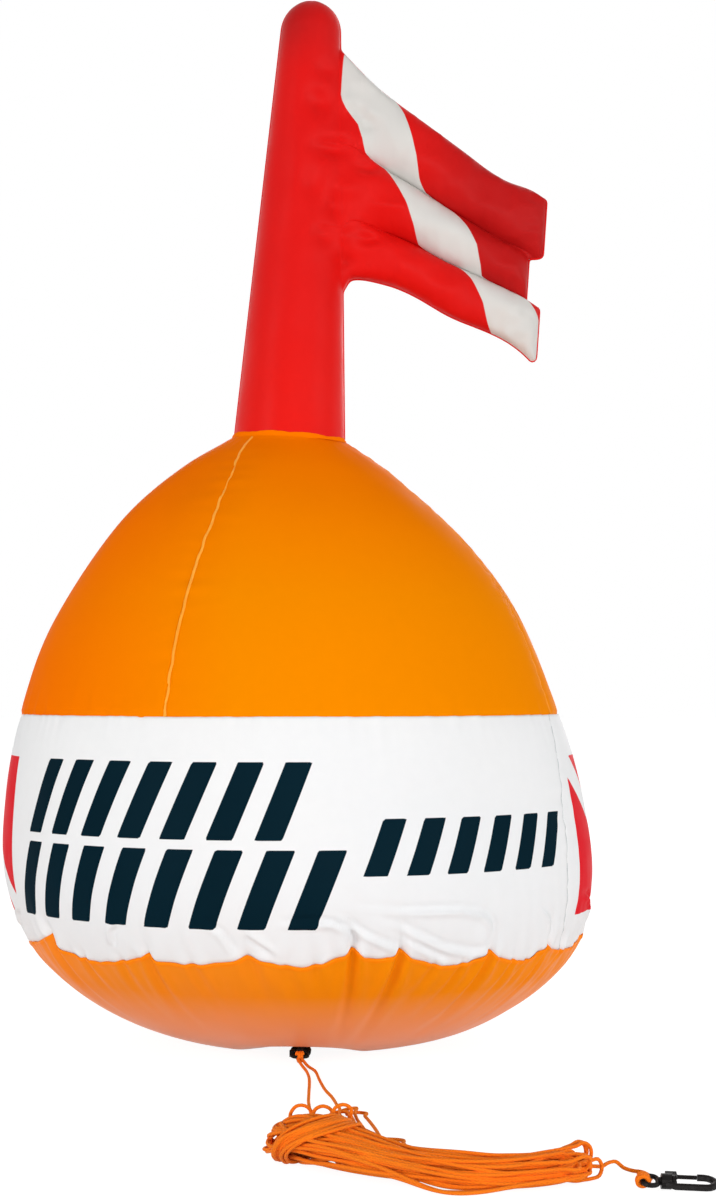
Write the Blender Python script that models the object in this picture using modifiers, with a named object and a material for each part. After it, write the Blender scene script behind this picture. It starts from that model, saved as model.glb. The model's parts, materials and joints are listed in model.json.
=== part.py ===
"""Inflatable marker buoy with a mast, a flag and a hank of line.

Metres, +Z up. The origin is on the floor under the middle of the round body.
The front faces -Y, the flag flies towards +X and the line lies in front.
"""

import math

import bmesh
import bpy
import numpy as np
from mathutils import Matrix, Vector

# Sheet and fits
SHEET = 0.0006
GAP = 0.0003
WELD = 0.00001
SHARP_ANGLE = math.radians(40.0)

# Round body: half widths at named heights, from the flat foot to the mast
FLAT_RADIUS = 0.0466
CHINE_HEIGHT = 0.0035
CHINE_RADIUS = 0.0790
BILGE_HEIGHT = 0.0160
BILGE_RADIUS = 0.1128
RISE_HEIGHT = 0.0360
RISE_RADIUS = 0.1421
BAND_FOOT_HEIGHT = 0.0610
BAND_FOOT_RADIUS = 0.1626
BELLY_HEIGHT = 0.1000
BELLY_RADIUS = 0.1740
WAIST_HEIGHT = 0.1500
WAIST_RADIUS = 0.1704
BAND_HEAD_HEIGHT = 0.1940
BAND_HEAD_RADIUS = 0.1601
DOME_HEIGHT = 0.2500
DOME_RADIUS = 0.1390
SHOULDER_HEIGHT = 0.3000
SHOULDER_RADIUS = 0.1052
NECK_HEIGHT = 0.3360
NECK_RADIUS = 0.0661
CROWN_HEIGHT = 0.3580
CROWN_RADIUS = 0.0332

# Centre line of the body, which leans a little away from the flag
LEAN_AT_FLOOR = 0.0064
LEAN_SLOPE = -0.0594
LEAN_BOW = 0.1344
LEAN_MIDDLE = 0.1200
TILT_START = 0.2500

# Seams, as angles round the body from the front
SEAM_ANGLE = math.radians(-22.5)
GORES = 4
BAND_SEAM_ANGLE = math.radians(60.0)
BAND_STRIPS = 2
FACETS_AROUND = 48
PROFILE_SAMPLES = 24
BAND_ROWS = 5
GORE_ROWS = 9
BOTTOM_ROWS = 9

# Hollow under the front of the body, pressed in by the hook
HOLLOW_DEPTH = 0.0075
HOLLOW_RADIUS = 0.0380
HOLLOW_Y = -0.0660

# Mast and flag
MAST_LEAN = math.radians(3.0)
MAST_FOOT_RADIUS = 0.0348
MAST_HEAD_RADIUS = 0.0195
MAST_LENGTH = 0.2645
MAST_DEPTH_AT_HEAD = 0.92
HOIST_FOOT = 0.0915
HOIST_HEAD = 0.2360
FLAG_TOP_EDGE = [
    (0.0360, 0.2210), (0.0490, 0.2106), (0.0733, 0.1950), (0.0969, 0.1800),
    (0.1205, 0.1650), (0.1364, 0.1599), (0.1450, 0.1558),
]
FLAG_LOWER_EDGE = [
    (0.0344, 0.0992), (0.0550, 0.0973), (0.0709, 0.0921), (0.0943, 0.0807),
    (0.1175, 0.0729), (0.1286, 0.0675), (0.1436, 0.0569),
]
FLAG_DEPTH_AT_HOIST = 0.0140
FLAG_DEPTH_AT_FLY = 0.0090
CREASE_DEPTH = 0.0045
UPPER_CREASE_AT_HOIST = 0.41
UPPER_CREASE_AT_FLY = 0.37
LOWER_CREASE_AT_HOIST = 0.755
LOWER_CREASE_AT_FLY = 0.655
FLY_NOTCH = 0.0080
FLY_ROUND = 0.12
FLAG_SWEEP = 0.0100
MAST_COLUMNS = 12
MAST_ROWS_BELOW = 3
MAST_ROWS_ABOVE = 4
LOBE_ROWS = 4
FLAG_COLUMNS = 8

# Collar between the mast and the dome
BEAD_WIDTH = 0.0021
BEAD_STAND = 0.0012
SLEEVE_HEIGHT = 0.0080
SKIRT_WIDTH = 0.0070
COLLAR_STEPS = 24
SKIRT_RINGS = 4

# Snap hooks, along their own length from the eye to the bow
HOOK_EYE_BAR = 0.0012
HOOK_EYE_LENGTH = 0.0062
HOOK_EYE_HALF_WIDTH = 0.0042
HOOK_EYE_WIRE = 0.0011
HOOK_EYE_CORNER = 0.0028
SWIVEL_STEM_RADIUS = 0.0017
SWIVEL_HEAD_RADIUS = 0.0027
SWIVEL_HEAD_LENGTH = 0.0012
COLLAR_BORE_RADIUS = 0.0020
COLLAR_RADIUS = 0.0033
COLLAR_LENGTH = 0.0042
HOOK_WIRE = 0.0015
HOOK_HALF_WIDTH = 0.0044
SHANK_OFFSET = 0.0020
SPINE_LENGTH = 0.0125
NOSE_LENGTH = 0.0026
EAR_LENGTH = 0.0040
EAR_WIDTH = 0.0034
EAR_THICKNESS = 0.0034
EAR_SLOT = 0.0020
GATE_BARREL_RADIUS = 0.0014
GATE_BARREL_THICKNESS = 0.0014
GATE_WIRE = 0.0009
GATE_PIN_RADIUS = 0.0005
GATE_PIN_CLEARANCE = 0.0003

# Where the two hooks lie
UPPER_HOOK_X = 0.0033
UPPER_HOOK_Y = -0.0975
LOWER_HOOK_X = 0.1530
LOWER_HOOK_Y = -0.4140
HOOK_LIFT = 0.0036
LOWER_HOOK_LIFT = 0.0041
LOWER_HOOK_ROLL = math.radians(15.0)
LOWER_HOOK_PITCH = math.radians(2.5)

# Tether loop and its weld patch under the body
LOOP_STRAP = 0.0010
LOOP_WIDTH = 0.0040
LOOP_REACH = 0.0121
LOOP_REAR_RADIUS = 0.0020
LOOP_DROP = 0.0013
PATCH_WIDTH = 0.0260
PATCH_FRONT = -0.0740
PATCH_REAR = -0.0440
PATCH_CELLS = 8

# Inflation valve on the rear gore
VALVE_ANGLE = math.radians(202.5)
VALVE_HEIGHT = 0.2600
VALVE_FLANGE_RADIUS = 0.0170
VALVE_FLANGE_THICKNESS = 0.0010
VALVE_TUBE_RADIUS = 0.0060
VALVE_BORE_RADIUS = 0.0042
VALVE_TUBE_INNER = 0.0140
VALVE_MOUTH = 0.0030
PLUG_CAP_RADIUS = 0.0064
PLUG_CAP_THICKNESS = 0.0016
PLUG_PIN_RADIUS = 0.0038
PLUG_PIN_LENGTH = 0.0080
PLUG_LEAD_IN = 0.0010
STRAP_WIDTH = 0.0035
STRAP_THICKNESS = 0.0009
STRAP_REACH = 0.0145
STRAP_CREST = 0.0094
STRAP_RISE = 0.0016
FLAP_RADIUS = 0.0056
FLAP_THICKNESS = 0.0008

# Line
CORD_DIAMETER = 0.0017
KNOT_RADIUS = 0.0034
KNOT_WIDTH = 0.0050
KNOT_CHAMFER = 0.0006
CORD_SPACING = 0.0050
LEAD_LEFT_ROUTE = [
    (0.0021, -0.1003, 0.0030), (0.0040, -0.1130, 0.0014), (0.0066, -0.1300, 0.0012),
    (0.0072, -0.1500, 0.0012), (0.0062, -0.1700, 0.0012), (0.0078, -0.1890, 0.0012),
    (0.0130, -0.2195, 0.0012),
]
LEAD_RIGHT_ROUTE = [
    (0.0046, -0.1003, 0.0030), (0.0094, -0.1130, 0.0014), (0.0140, -0.1310, 0.0012),
    (0.0180, -0.1510, 0.0012), (0.0212, -0.1700, 0.0012), (0.0236, -0.1860, 0.0012),
    (0.0262, -0.2030, 0.0012),
]
TAIL_ROUTE = [
    (0.1379, -0.3897, 0.0047), (0.1425, -0.3860, 0.0034), (0.1464, -0.3760, 0.0014),
    (0.1496, -0.3650, 0.0012),
    (0.1538, -0.3590, 0.0012), (0.1566, -0.3660, 0.0012), (0.1568, -0.3780, 0.0012),
    (0.1540, -0.3900, 0.0012), (0.1506, -0.4010, 0.0020), (0.1494, -0.4120, 0.0034),
]
# Hank: middle x, middle y, half depth and height at stations along it
HANK_STATIONS = [
    (0.0040, -0.3520, 0.0160, 0.0200), (0.0140, -0.3600, 0.0215, 0.0270),
    (0.0323, -0.3760, 0.0200, 0.0240), (0.0549, -0.3940, 0.0165, 0.0165),
    (0.0766, -0.4060, 0.0145, 0.0150), (0.0960, -0.4080, 0.0140, 0.0130),
    (0.1197, -0.4010, 0.0140, 0.0125), (0.1375, -0.3900, 0.0105, 0.0095),
]
HANK_ROUNDNESS = 4.0
HANK_SIDES = 16
HANK_RINGS = 18
LOOPS_SIDES = 20
LOOPS_RINGS = 8
HANK_LOOPS_MIDDLE = (0.0290, -0.2800)
HANK_LOOPS_HALF_WIDTH = 0.0260
HANK_LOOPS_HALF_LENGTH = 0.0765
HANK_LOOPS_HEIGHT = 0.0045

# Colours
ORANGE = (0.86, 0.26, 0.01)
RED = (0.76, 0.01, 0.01)
WHITE = (0.88, 0.88, 0.88)
BLACK = (0.02, 0.02, 0.02)
CLEAR = (0.80, 0.80, 0.78)
CORD_ORANGE = (0.85, 0.20, 0.01)


def clear_scene():
    for item in list(bpy.data.objects):
        bpy.data.objects.remove(item, do_unlink=True)


def new_collection(name):
    collection = bpy.data.collections.new(name)
    bpy.context.scene.collection.children.link(collection)
    return collection


def make_material(name, colour, roughness):
    material = bpy.data.materials.new(name)
    material.use_nodes = True
    shader = material.node_tree.nodes["Principled BSDF"]
    shader.inputs["Base Color"].default_value = (*colour, 1.0)
    shader.inputs["Roughness"].default_value = roughness
    shader.inputs["Metallic"].default_value = 0.0
    material.diffuse_color = (*colour, 1.0)
    return material


def add_object(name, data, collection, material=None, parent=None):
    item = bpy.data.objects.new(name, data)
    collection.objects.link(item)
    if material is not None:
        data.materials.append(material)
    if parent is not None:
        item.parent = parent
    return item


def add_empty(name, collection, location, rotation=None):
    empty = bpy.data.objects.new(name, None)
    empty.empty_display_size = 0.01
    collection.objects.link(empty)
    turn = rotation if rotation is not None else Matrix.Identity(3)
    empty.matrix_world = Matrix.Translation(location) @ turn.to_4x4()
    bpy.context.view_layer.update()
    return empty


def mesh_from(name, bm, smooth=True):
    mesh = bpy.data.meshes.new(name)
    bm.to_mesh(mesh)
    bm.free()
    if smooth:
        mesh.shade_smooth()
        mesh.set_sharp_from_angle(angle=SHARP_ANGLE)
    return mesh


def hermite(points, samples, start_slope=None):
    """Smooth curve through points, sampled evenly between each pair."""
    knots = np.array(points, dtype=float)
    steps = np.linalg.norm(np.diff(knots, axis=0), axis=1)
    times = np.concatenate([[0.0], np.cumsum(steps)])
    slopes = np.zeros_like(knots)
    slopes[1:-1] = (knots[2:] - knots[:-2]) / (times[2:] - times[:-2])[:, None]
    slopes[0] = (knots[1] - knots[0]) / steps[0]
    slopes[-1] = (knots[-1] - knots[-2]) / steps[-1]
    if start_slope is not None:
        slopes[0] = start_slope
    out = []
    for k in range(len(knots) - 1):
        span = steps[k]
        for t in np.arange(samples) / samples:
            a = 2 * t**3 - 3 * t**2 + 1
            b = t**3 - 2 * t**2 + t
            c = -2 * t**3 + 3 * t**2
            d = t**3 - t**2
            out.append(a * knots[k] + b * span * slopes[k] + c * knots[k + 1] + d * span * slopes[k + 1])
    out.append(knots[-1])
    return np.array(out)


def body_profile():
    """Radius and height from the edge of the flat foot up to the crown."""
    points = [
        (FLAT_RADIUS, 0.0), (CHINE_RADIUS, CHINE_HEIGHT), (BILGE_RADIUS, BILGE_HEIGHT),
        (RISE_RADIUS, RISE_HEIGHT), (BAND_FOOT_RADIUS, BAND_FOOT_HEIGHT),
        (BELLY_RADIUS, BELLY_HEIGHT), (WAIST_RADIUS, WAIST_HEIGHT),
        (BAND_HEAD_RADIUS, BAND_HEAD_HEIGHT), (DOME_RADIUS, DOME_HEIGHT),
        (SHOULDER_RADIUS, SHOULDER_HEIGHT), (NECK_RADIUS, NECK_HEIGHT),
        (CROWN_RADIUS, CROWN_HEIGHT),
    ]
    return hermite(points, PROFILE_SAMPLES, start_slope=(1.0, 0.0))


PROFILE = body_profile()
PROFILE_LENGTH = np.concatenate(
    [[0.0], np.cumsum(np.linalg.norm(np.diff(PROFILE, axis=0), axis=1))]
)
BEAD_RADIUS = MAST_FOOT_RADIUS + BEAD_WIDTH
GORE_END_RADIUS = BEAD_RADIUS + GAP


def length_at_height(height):
    return float(np.interp(height, PROFILE[:, 1], PROFILE_LENGTH))


def crown_length(radius):
    """Distance along the profile where the dome narrows to a radius."""
    top = PROFILE[:, 1] > BAND_HEAD_HEIGHT
    return float(np.interp(-radius, -PROFILE[top, 0], PROFILE_LENGTH[top]))


def crown_height(radius):
    return float(np.interp(crown_length(radius), PROFILE_LENGTH, PROFILE[:, 1]))


MAST_FOOT_HEIGHT = crown_height(GORE_END_RADIUS) + BEAD_STAND + GAP


def lean_at(height):
    return LEAN_AT_FLOOR + LEAN_SLOPE * height + LEAN_BOW * (height - LEAN_MIDDLE) ** 2


def tilt_share(height):
    """How far the dome has turned with the mast, from 0 to 1."""
    share = (height - TILT_START) / (NECK_HEIGHT - TILT_START)
    share = min(max(share, 0.0), 1.0)
    return share * share * (3.0 - 2.0 * share)


def hollow_at(x, y):
    reach = math.hypot(x - UPPER_HOOK_X, y - HOLLOW_Y) / HOLLOW_RADIUS
    if reach >= 1.0:
        return 0.0
    return HOLLOW_DEPTH * (1.0 - reach * reach) ** 2


def body_point(radius, height, angle):
    """World point of the body for a radius and height of its round shape."""
    x = lean_at(height) + radius * math.sin(angle)
    y = -radius * math.cos(angle)
    z = height - math.tan(MAST_LEAN) * tilt_share(height) * radius * math.sin(angle)
    if height < RISE_HEIGHT:
        z += hollow_at(x, y)
    return Vector((x, y, z))


def profile_normal(length):
    """Outward direction of the profile, as radius and height."""
    step = 0.001
    r_a, r_b = np.interp((length - step, length + step), PROFILE_LENGTH, PROFILE[:, 0])
    z_a, z_b = np.interp((length - step, length + step), PROFILE_LENGTH, PROFILE[:, 1])
    along = math.hypot(r_b - r_a, z_b - z_a)
    return float((z_b - z_a) / along), float(-(r_b - r_a) / along)


def skin_point(length, angle, stand=0.0):
    """World point on the body's outer face, or a little outside it."""
    radius = float(np.interp(length, PROFILE_LENGTH, PROFILE[:, 0]))
    height = float(np.interp(length, PROFILE_LENGTH, PROFILE[:, 1]))
    out_r, out_z = profile_normal(length)
    return body_point(radius + stand * out_r, height + stand * out_z, angle)


def grid_sheet(rows, columns, place):
    """Open grid whose corners are placed by a function of row and column."""
    bm = bmesh.new()
    bmesh.ops.create_grid(bm, x_segments=columns, y_segments=rows, size=0.5)
    for vert in bm.verts:
        vert.co = place(vert.co.y + 0.5, vert.co.x + 0.5)
    bmesh.ops.remove_doubles(bm, verts=bm.verts, dist=WELD)
    return bm


def solidify(item, thickness, offset=-1.0):
    shell = item.modifiers.new("sheet", "SOLIDIFY")
    shell.thickness = thickness
    shell.offset = offset
    shell.use_even_offset = True
    return shell


def skin_panel(name, low, high, angle_a, angle_b, rows, columns, material, collection):
    """Panel of sheet between two lengths of the profile and two angles."""
    trim = 0.5 * GAP
    low_edge = low + trim
    high_edge = high - trim

    def place(row, column):
        length = low_edge + row * (high_edge - low_edge)
        side = trim / float(np.interp(length, PROFILE_LENGTH, PROFILE[:, 0]))
        angle = angle_a + side + column * (angle_b - angle_a - 2.0 * side)
        return skin_point(length, angle)

    bm = grid_sheet(rows, columns, place)
    item = add_object(name, mesh_from(name, bm), collection, material)
    solidify(item, SHEET)
    return item


def build_body(collection, orange, white):
    foot = length_at_height(BAND_FOOT_HEIGHT)
    head = length_at_height(BAND_HEAD_HEIGHT)
    crown = crown_length(GORE_END_RADIUS)
    gores = []
    quarter = 2.0 * math.pi / GORES
    names = ("upper_gore_front", "upper_gore_right", "upper_gore_rear", "upper_gore_left")
    for k, name in enumerate(names):
        start = SEAM_ANGLE + k * quarter
        gores.append(skin_panel(
            name, head, crown, start, start + quarter, GORE_ROWS, FACETS_AROUND // GORES,
            orange, collection))
    half = 2.0 * math.pi / BAND_STRIPS
    for k, name in enumerate(("band_rear", "band_front")):
        start = BAND_SEAM_ANGLE + k * half
        skin_panel(name, foot, head, start, start + half, BAND_ROWS,
                   FACETS_AROUND // BAND_STRIPS, white, collection)
    build_bottom(collection, orange, foot)
    return dict(zip(names, gores))


def build_bottom(collection, orange, edge_length):
    """Round bottom panel: a profile spun about the body's middle."""
    bm = bmesh.new()
    flat = [(r, 0.0) for r in np.linspace(0.0, FLAT_RADIUS, 3)[:-1]]
    curved = []
    for length in np.linspace(0.0, edge_length - 0.5 * GAP, BOTTOM_ROWS):
        radius = float(np.interp(length, PROFILE_LENGTH, PROFILE[:, 0]))
        height = float(np.interp(length, PROFILE_LENGTH, PROFILE[:, 1]))
        curved.append((radius, height))
    profile = flat + curved
    verts = [bm.verts.new((radius, 0.0, height)) for radius, height in profile]
    edges = [bm.edges.new(pair) for pair in zip(verts[:-1], verts[1:])]
    bmesh.ops.spin(bm, geom=verts + edges, cent=(0, 0, 0), axis=(0, 0, 1),
                   angle=2.0 * math.pi, steps=FACETS_AROUND, use_merge=True)
    bmesh.ops.remove_doubles(bm, verts=bm.verts, dist=WELD)
    for vert in bm.verts:
        radius = math.hypot(vert.co.x, vert.co.y)
        angle = math.atan2(vert.co.x, -vert.co.y)
        vert.co = body_point(radius, vert.co.z, angle)
    face_outward(bm, Vector((0, 0, 0.1)))
    item = add_object("bottom_panel", mesh_from("bottom_panel", bm), collection, orange)
    solidify(item, SHEET)
    return item


def face_outward(bm, inside):
    """Turn every face of an open sheet away from a point inside."""
    bm.normal_update()
    bmesh.ops.recalc_face_normals(bm, faces=bm.faces)
    bm.normal_update()
    total = sum((face.calc_center_median() - inside).dot(face.normal) * face.calc_area()
                for face in bm.faces)
    if total < 0.0:
        bmesh.ops.reverse_faces(bm, faces=bm.faces)


def mast_radius(along):
    """Half width of the mast at a distance above its foot."""
    round_start = MAST_LENGTH - MAST_HEAD_RADIUS
    if along <= round_start:
        share = along / round_start
        return MAST_FOOT_RADIUS + share * (MAST_HEAD_RADIUS - MAST_FOOT_RADIUS)
    over = min((along - round_start) / MAST_HEAD_RADIUS, 1.0)
    return MAST_HEAD_RADIUS * math.sqrt(max(1.0 - over * over, 0.0))


def mast_bore(along):
    """Half width inside the mast's sheets."""
    return max(mast_radius(along) - SHEET, 0.0)


def mast_depth(along):
    share = min(along / MAST_LENGTH, 1.0)
    return mast_bore(along) * (1.0 + share * (MAST_DEPTH_AT_HEAD - 1.0))


def flag_creases(reach):
    upper = UPPER_CREASE_AT_HOIST + reach * (UPPER_CREASE_AT_FLY - UPPER_CREASE_AT_HOIST)
    lower = LOWER_CREASE_AT_HOIST + reach * (LOWER_CREASE_AT_FLY - LOWER_CREASE_AT_HOIST)
    return [0.0, upper, lower, 1.0]


def lobe_place(row):
    """Lobe number and angle across it for a row counted from the top edge."""
    lobe = min(int(row // LOBE_ROWS), 2)
    turn = math.pi * (row - lobe * LOBE_ROWS) / LOBE_ROWS
    return lobe, turn


def flag_share(row, reach):
    """How far down the flag a row lies, from 0 at the top edge to 1."""
    lobe, turn = lobe_place(row)
    creases = flag_creases(reach)
    across = 0.5 * (1.0 - math.cos(turn))
    return creases[lobe] + across * (creases[lobe + 1] - creases[lobe])


def flag_depth(row, reach):
    """Half depth of the inflated flag."""
    lobe, turn = lobe_place(row)
    full = FLAG_DEPTH_AT_HOIST + reach * (FLAG_DEPTH_AT_FLY - FLAG_DEPTH_AT_HOIST)
    crease_a = 0.0 if lobe == 0 else CREASE_DEPTH
    crease_b = 0.0 if lobe == 2 else CREASE_DEPTH
    share = turn / math.pi
    floor = crease_a + share * (crease_b - crease_a)
    depth = floor + (full - floor) * math.sin(turn)
    if reach > 1.0 - FLY_ROUND:
        over = (reach - (1.0 - FLY_ROUND)) / FLY_ROUND
        depth *= math.sqrt(max(1.0 - over * over, 0.0))
    return depth


def edge_curve(start, points):
    curve = hermite([start] + points, 12)
    lengths = np.concatenate([[0.0], np.cumsum(np.linalg.norm(np.diff(curve, axis=0), axis=1))])
    return curve, lengths / lengths[-1]


def flag_point(row, reach, side):
    """Point of one flag sheet in the mast's frame; side is -1 in front."""
    top, top_share = edge_curve((mast_bore(HOIST_HEAD), HOIST_HEAD), FLAG_TOP_EDGE)
    low, low_share = edge_curve((mast_bore(HOIST_FOOT), HOIST_FOOT), FLAG_LOWER_EDGE)
    down = flag_share(row, reach)
    x_top, z_top = (np.interp(reach, top_share, top[:, k]) for k in (0, 1))
    x_low, z_low = (np.interp(reach, low_share, low[:, k]) for k in (0, 1))
    if reach == 0.0:
        z = HOIST_HEAD + down * (HOIST_FOOT - HOIST_HEAD)
        x = mast_bore(z)
    else:
        x = x_top + down * (x_low - x_top)
        z = z_top + down * (z_low - z_top)
    creases = flag_creases(reach)
    if creases[1] < down < creases[2]:
        middle = (down - creases[1]) / (creases[2] - creases[1])
        x -= FLY_NOTCH * math.sin(math.pi * middle) ** 0.5 * reach**6
    y = FLAG_SWEEP * reach**2 + side * (0.5 * GAP + flag_depth(row, reach))
    return Vector((x, y, z))


def mast_heights():
    """Heights of the mast's rows, which share the flag's rows at the hoist."""
    below = list(np.linspace(GAP, HOIST_FOOT, MAST_ROWS_BELOW + 1))
    rows = 3 * LOBE_ROWS
    beside = [HOIST_HEAD + flag_share(row, 0.0) * (HOIST_FOOT - HOIST_HEAD)
              for row in range(rows - 1, -1, -1)]
    round_start = MAST_LENGTH - MAST_HEAD_RADIUS
    above = [HOIST_HEAD + 0.5 * (round_start - HOIST_HEAD), round_start]
    above += [round_start + MAST_HEAD_RADIUS * math.sin(0.5 * math.pi * k / MAST_ROWS_ABOVE)
              for k in range(1, MAST_ROWS_ABOVE + 1)]
    return below + beside + above


def build_mast(collection, frame, red):
    heights = mast_heights()
    rows = len(heights) - 1
    flag_rows = 3 * LOBE_ROWS
    for name, side in (("mast_flag_front", -1.0), ("mast_flag_rear", 1.0)):

        def mast_place(row, column):
            index = round(row * rows)
            along = heights[index]
            turn = math.pi * (column - 0.5)
            lobe = 0.0
            if MAST_ROWS_BELOW <= index <= MAST_ROWS_BELOW + flag_rows and turn > 0.0:
                lobe = flag_depth(MAST_ROWS_BELOW + flag_rows - index, 0.0)
            depth = math.hypot(mast_depth(along) * math.cos(turn), lobe * math.sin(turn) ** 2)
            x = mast_bore(along) * math.sin(turn)
            return Vector((x, side * (0.5 * GAP + depth), along))

        bm = grid_sheet(rows, MAST_COLUMNS, mast_place)
        flag = grid_sheet(flag_rows, FLAG_COLUMNS,
                          lambda row, column: flag_point((1.0 - row) * flag_rows, column, side))
        flag_mesh = bpy.data.meshes.new("flag")
        flag.to_mesh(flag_mesh)
        flag.free()
        bm.from_mesh(flag_mesh)
        bpy.data.meshes.remove(flag_mesh)
        bmesh.ops.remove_doubles(bm, verts=bm.verts, dist=5.0 * WELD)
        face_outward(bm, Vector((0.05, 0.0, 0.15)))
        item = add_object(name, mesh_from(name, bm), collection, red, frame)
        solidify(item, SHEET, offset=1.0)


def turned(name, profile, steps, collection, material, parent=None, closed=True):
    """Profile of radius and height turned about the local Z axis."""
    bm = bmesh.new()
    verts = [bm.verts.new((radius, 0.0, height)) for radius, height in profile]
    ends = verts[1:] + verts[:1] if closed else verts[1:]
    for a, b in zip(verts, ends):
        bm.edges.new((a, b))
    item = add_object(name, mesh_from(name, bm, smooth=False), collection, material, parent)
    screw = item.modifiers.new("turn", "SCREW")
    screw.steps = steps
    screw.render_steps = steps
    screw.use_merge_vertices = True
    screw.merge_threshold = WELD
    screw.use_smooth_shade = True
    return item


def build_collar(collection, frame, orange):
    def under_gore(radius, depth):
        """Point below the dome's outer face, in the mast's frame."""
        out_r, out_z = profile_normal(crown_length(radius))
        return radius - depth * out_r, crown_height(radius) - depth * out_z - MAST_FOOT_HEIGHT

    def sleeve(along):
        return mast_bore(along) - GAP

    skirt_end = BEAD_RADIUS + SKIRT_WIDTH
    skirt_radii = [float(r) for r in np.linspace(BEAD_RADIUS, skirt_end, SKIRT_RINGS)]
    skirt_depth = SHEET + 3.0 * GAP
    skirt = [under_gore(r, skirt_depth) for r in skirt_radii]
    under = [under_gore(r, skirt_depth + SHEET) for r in reversed(skirt_radii)]
    inner = sleeve(SLEEVE_HEIGHT) - SHEET
    profile = [(inner, SLEEVE_HEIGHT), (sleeve(SLEEVE_HEIGHT), SLEEVE_HEIGHT), (sleeve(0.0), 0.0),
               (BEAD_RADIUS, 0.0)]
    profile += skirt + under
    profile += [(sleeve(0.0) - SHEET, under[-1][1])]
    turned("mast_collar", profile, COLLAR_STEPS, collection, orange, frame)


def curve_object(name, splines, radius, collection, parent=None, cyclic=False, resolution=2):
    curve = bpy.data.curves.new(name, "CURVE")
    curve.dimensions = "3D"
    curve.bevel_depth = radius
    curve.bevel_resolution = resolution
    curve.use_fill_caps = True
    for points in splines:
        spline = curve.splines.new("POLY")
        spline.points.add(len(points) - 1)
        for target, point in zip(spline.points, points):
            target.co = (*point, 1.0)
        spline.use_cyclic_u = cyclic
        spline.use_smooth = True
    return add_object(name, curve, collection, None, parent)


def to_mesh(item, material):
    """Swap a curve object for a mesh object with welded caps."""
    bpy.context.view_layer.update()
    depsgraph = bpy.context.evaluated_depsgraph_get()
    mesh = bpy.data.meshes.new_from_object(item.evaluated_get(depsgraph))
    bm = bmesh.new()
    bm.from_mesh(mesh)
    bmesh.ops.remove_doubles(bm, verts=bm.verts, dist=WELD)
    bm.to_mesh(mesh)
    bm.free()
    name = item.name
    matrix = item.matrix_world.copy()
    parent = item.parent
    collection = item.users_collection[0]
    bpy.data.objects.remove(item, do_unlink=True)
    solid = bpy.data.objects.new(name, mesh)
    collection.objects.link(solid)
    solid.parent = parent
    solid.matrix_world = matrix
    mesh.materials.clear()
    if material is not None:
        mesh.materials.append(material)
    return solid


def as_cutter(item):
    item.hide_render = True
    item.display_type = "WIRE"
    return item


def join_or_cut(item, other, operation):
    boolean = item.modifiers.new(operation.lower(), "BOOLEAN")
    boolean.operation = operation
    boolean.solver = "EXACT"
    boolean.object = other
    return boolean


def box_tool(name, low, high, collection, parent):
    bm = bmesh.new()
    bmesh.ops.create_cube(bm, size=1.0)
    low = Vector(low)
    high = Vector(high)
    for vert in bm.verts:
        vert.co = Vector(l + (c + 0.5) * (h - l) for l, h, c in zip(low, high, vert.co))
    return add_object(name, mesh_from(name, bm, smooth=False), collection, None, parent)


def rod(name, start, end, radius, segments, collection, material=None, parent=None):
    """Round bar between two points."""
    start = Vector(start)
    end = Vector(end)
    bm = bmesh.new()
    bmesh.ops.create_cone(bm, cap_ends=True, segments=segments, radius1=radius, radius2=radius,
                          depth=(end - start).length)
    turn = (end - start).to_track_quat("Z", "Y").to_matrix().to_4x4()
    bmesh.ops.transform(bm, matrix=Matrix.Translation((start + end) / 2) @ turn, verts=bm.verts)
    return add_object(name, mesh_from(name, bm), collection, material, parent)


# Stations along a hook, from its eye to its bow
EYE_FAR_BAR = HOOK_EYE_BAR + HOOK_EYE_LENGTH
COLLAR_START = EYE_FAR_BAR + HOOK_EYE_WIRE + GAP
COLLAR_END = COLLAR_START + COLLAR_LENGTH
EAR_START = COLLAR_END - 0.5 * EAR_LENGTH
GATE_HINGE = COLLAR_END + 0.5 * EAR_LENGTH
SPINE_START = COLLAR_END + HOOK_WIRE
BOW_MIDDLE = SPINE_START + SPINE_LENGTH
HOOK_LENGTH = BOW_MIDDLE + HOOK_HALF_WIDTH + HOOK_WIRE
NOSE_END = BOW_MIDDLE - NOSE_LENGTH


def eye_path():
    """Rounded rectangle of the eye's wire."""
    path = []
    for corner in range(4):
        sign_u = 1 if corner in (0, 3) else -1
        sign_v = 1 if corner in (0, 1) else -1
        middle_u = HOOK_EYE_BAR + 0.5 * HOOK_EYE_LENGTH + sign_u * (0.5 * HOOK_EYE_LENGTH - HOOK_EYE_CORNER)
        middle_v = sign_v * (HOOK_EYE_HALF_WIDTH - HOOK_EYE_CORNER)
        for k in range(5):
            turn = 0.5 * math.pi * (corner + k / 4)
            path.append((middle_u + HOOK_EYE_CORNER * math.cos(turn),
                         middle_v + HOOK_EYE_CORNER * math.sin(turn), 0.0))
    return path


def hook_path():
    """Wire of the hook: out of the collar, along the spine and round the bow."""
    path = [(COLLAR_END - 0.5 * COLLAR_LENGTH, -SHANK_OFFSET, 0.0),
            (SPINE_START, -HOOK_HALF_WIDTH, 0.0)]
    path += [(SPINE_START + SPINE_LENGTH * k / 3, -HOOK_HALF_WIDTH, 0.0) for k in (1, 2)]
    for k in range(9):
        turn = -0.5 * math.pi + math.pi * k / 8
        path.append((BOW_MIDDLE + HOOK_HALF_WIDTH * math.cos(turn),
                     HOOK_HALF_WIDTH * math.sin(turn), 0.0))
    path.append((NOSE_END, HOOK_HALF_WIDTH, 0.0))
    return path


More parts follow.
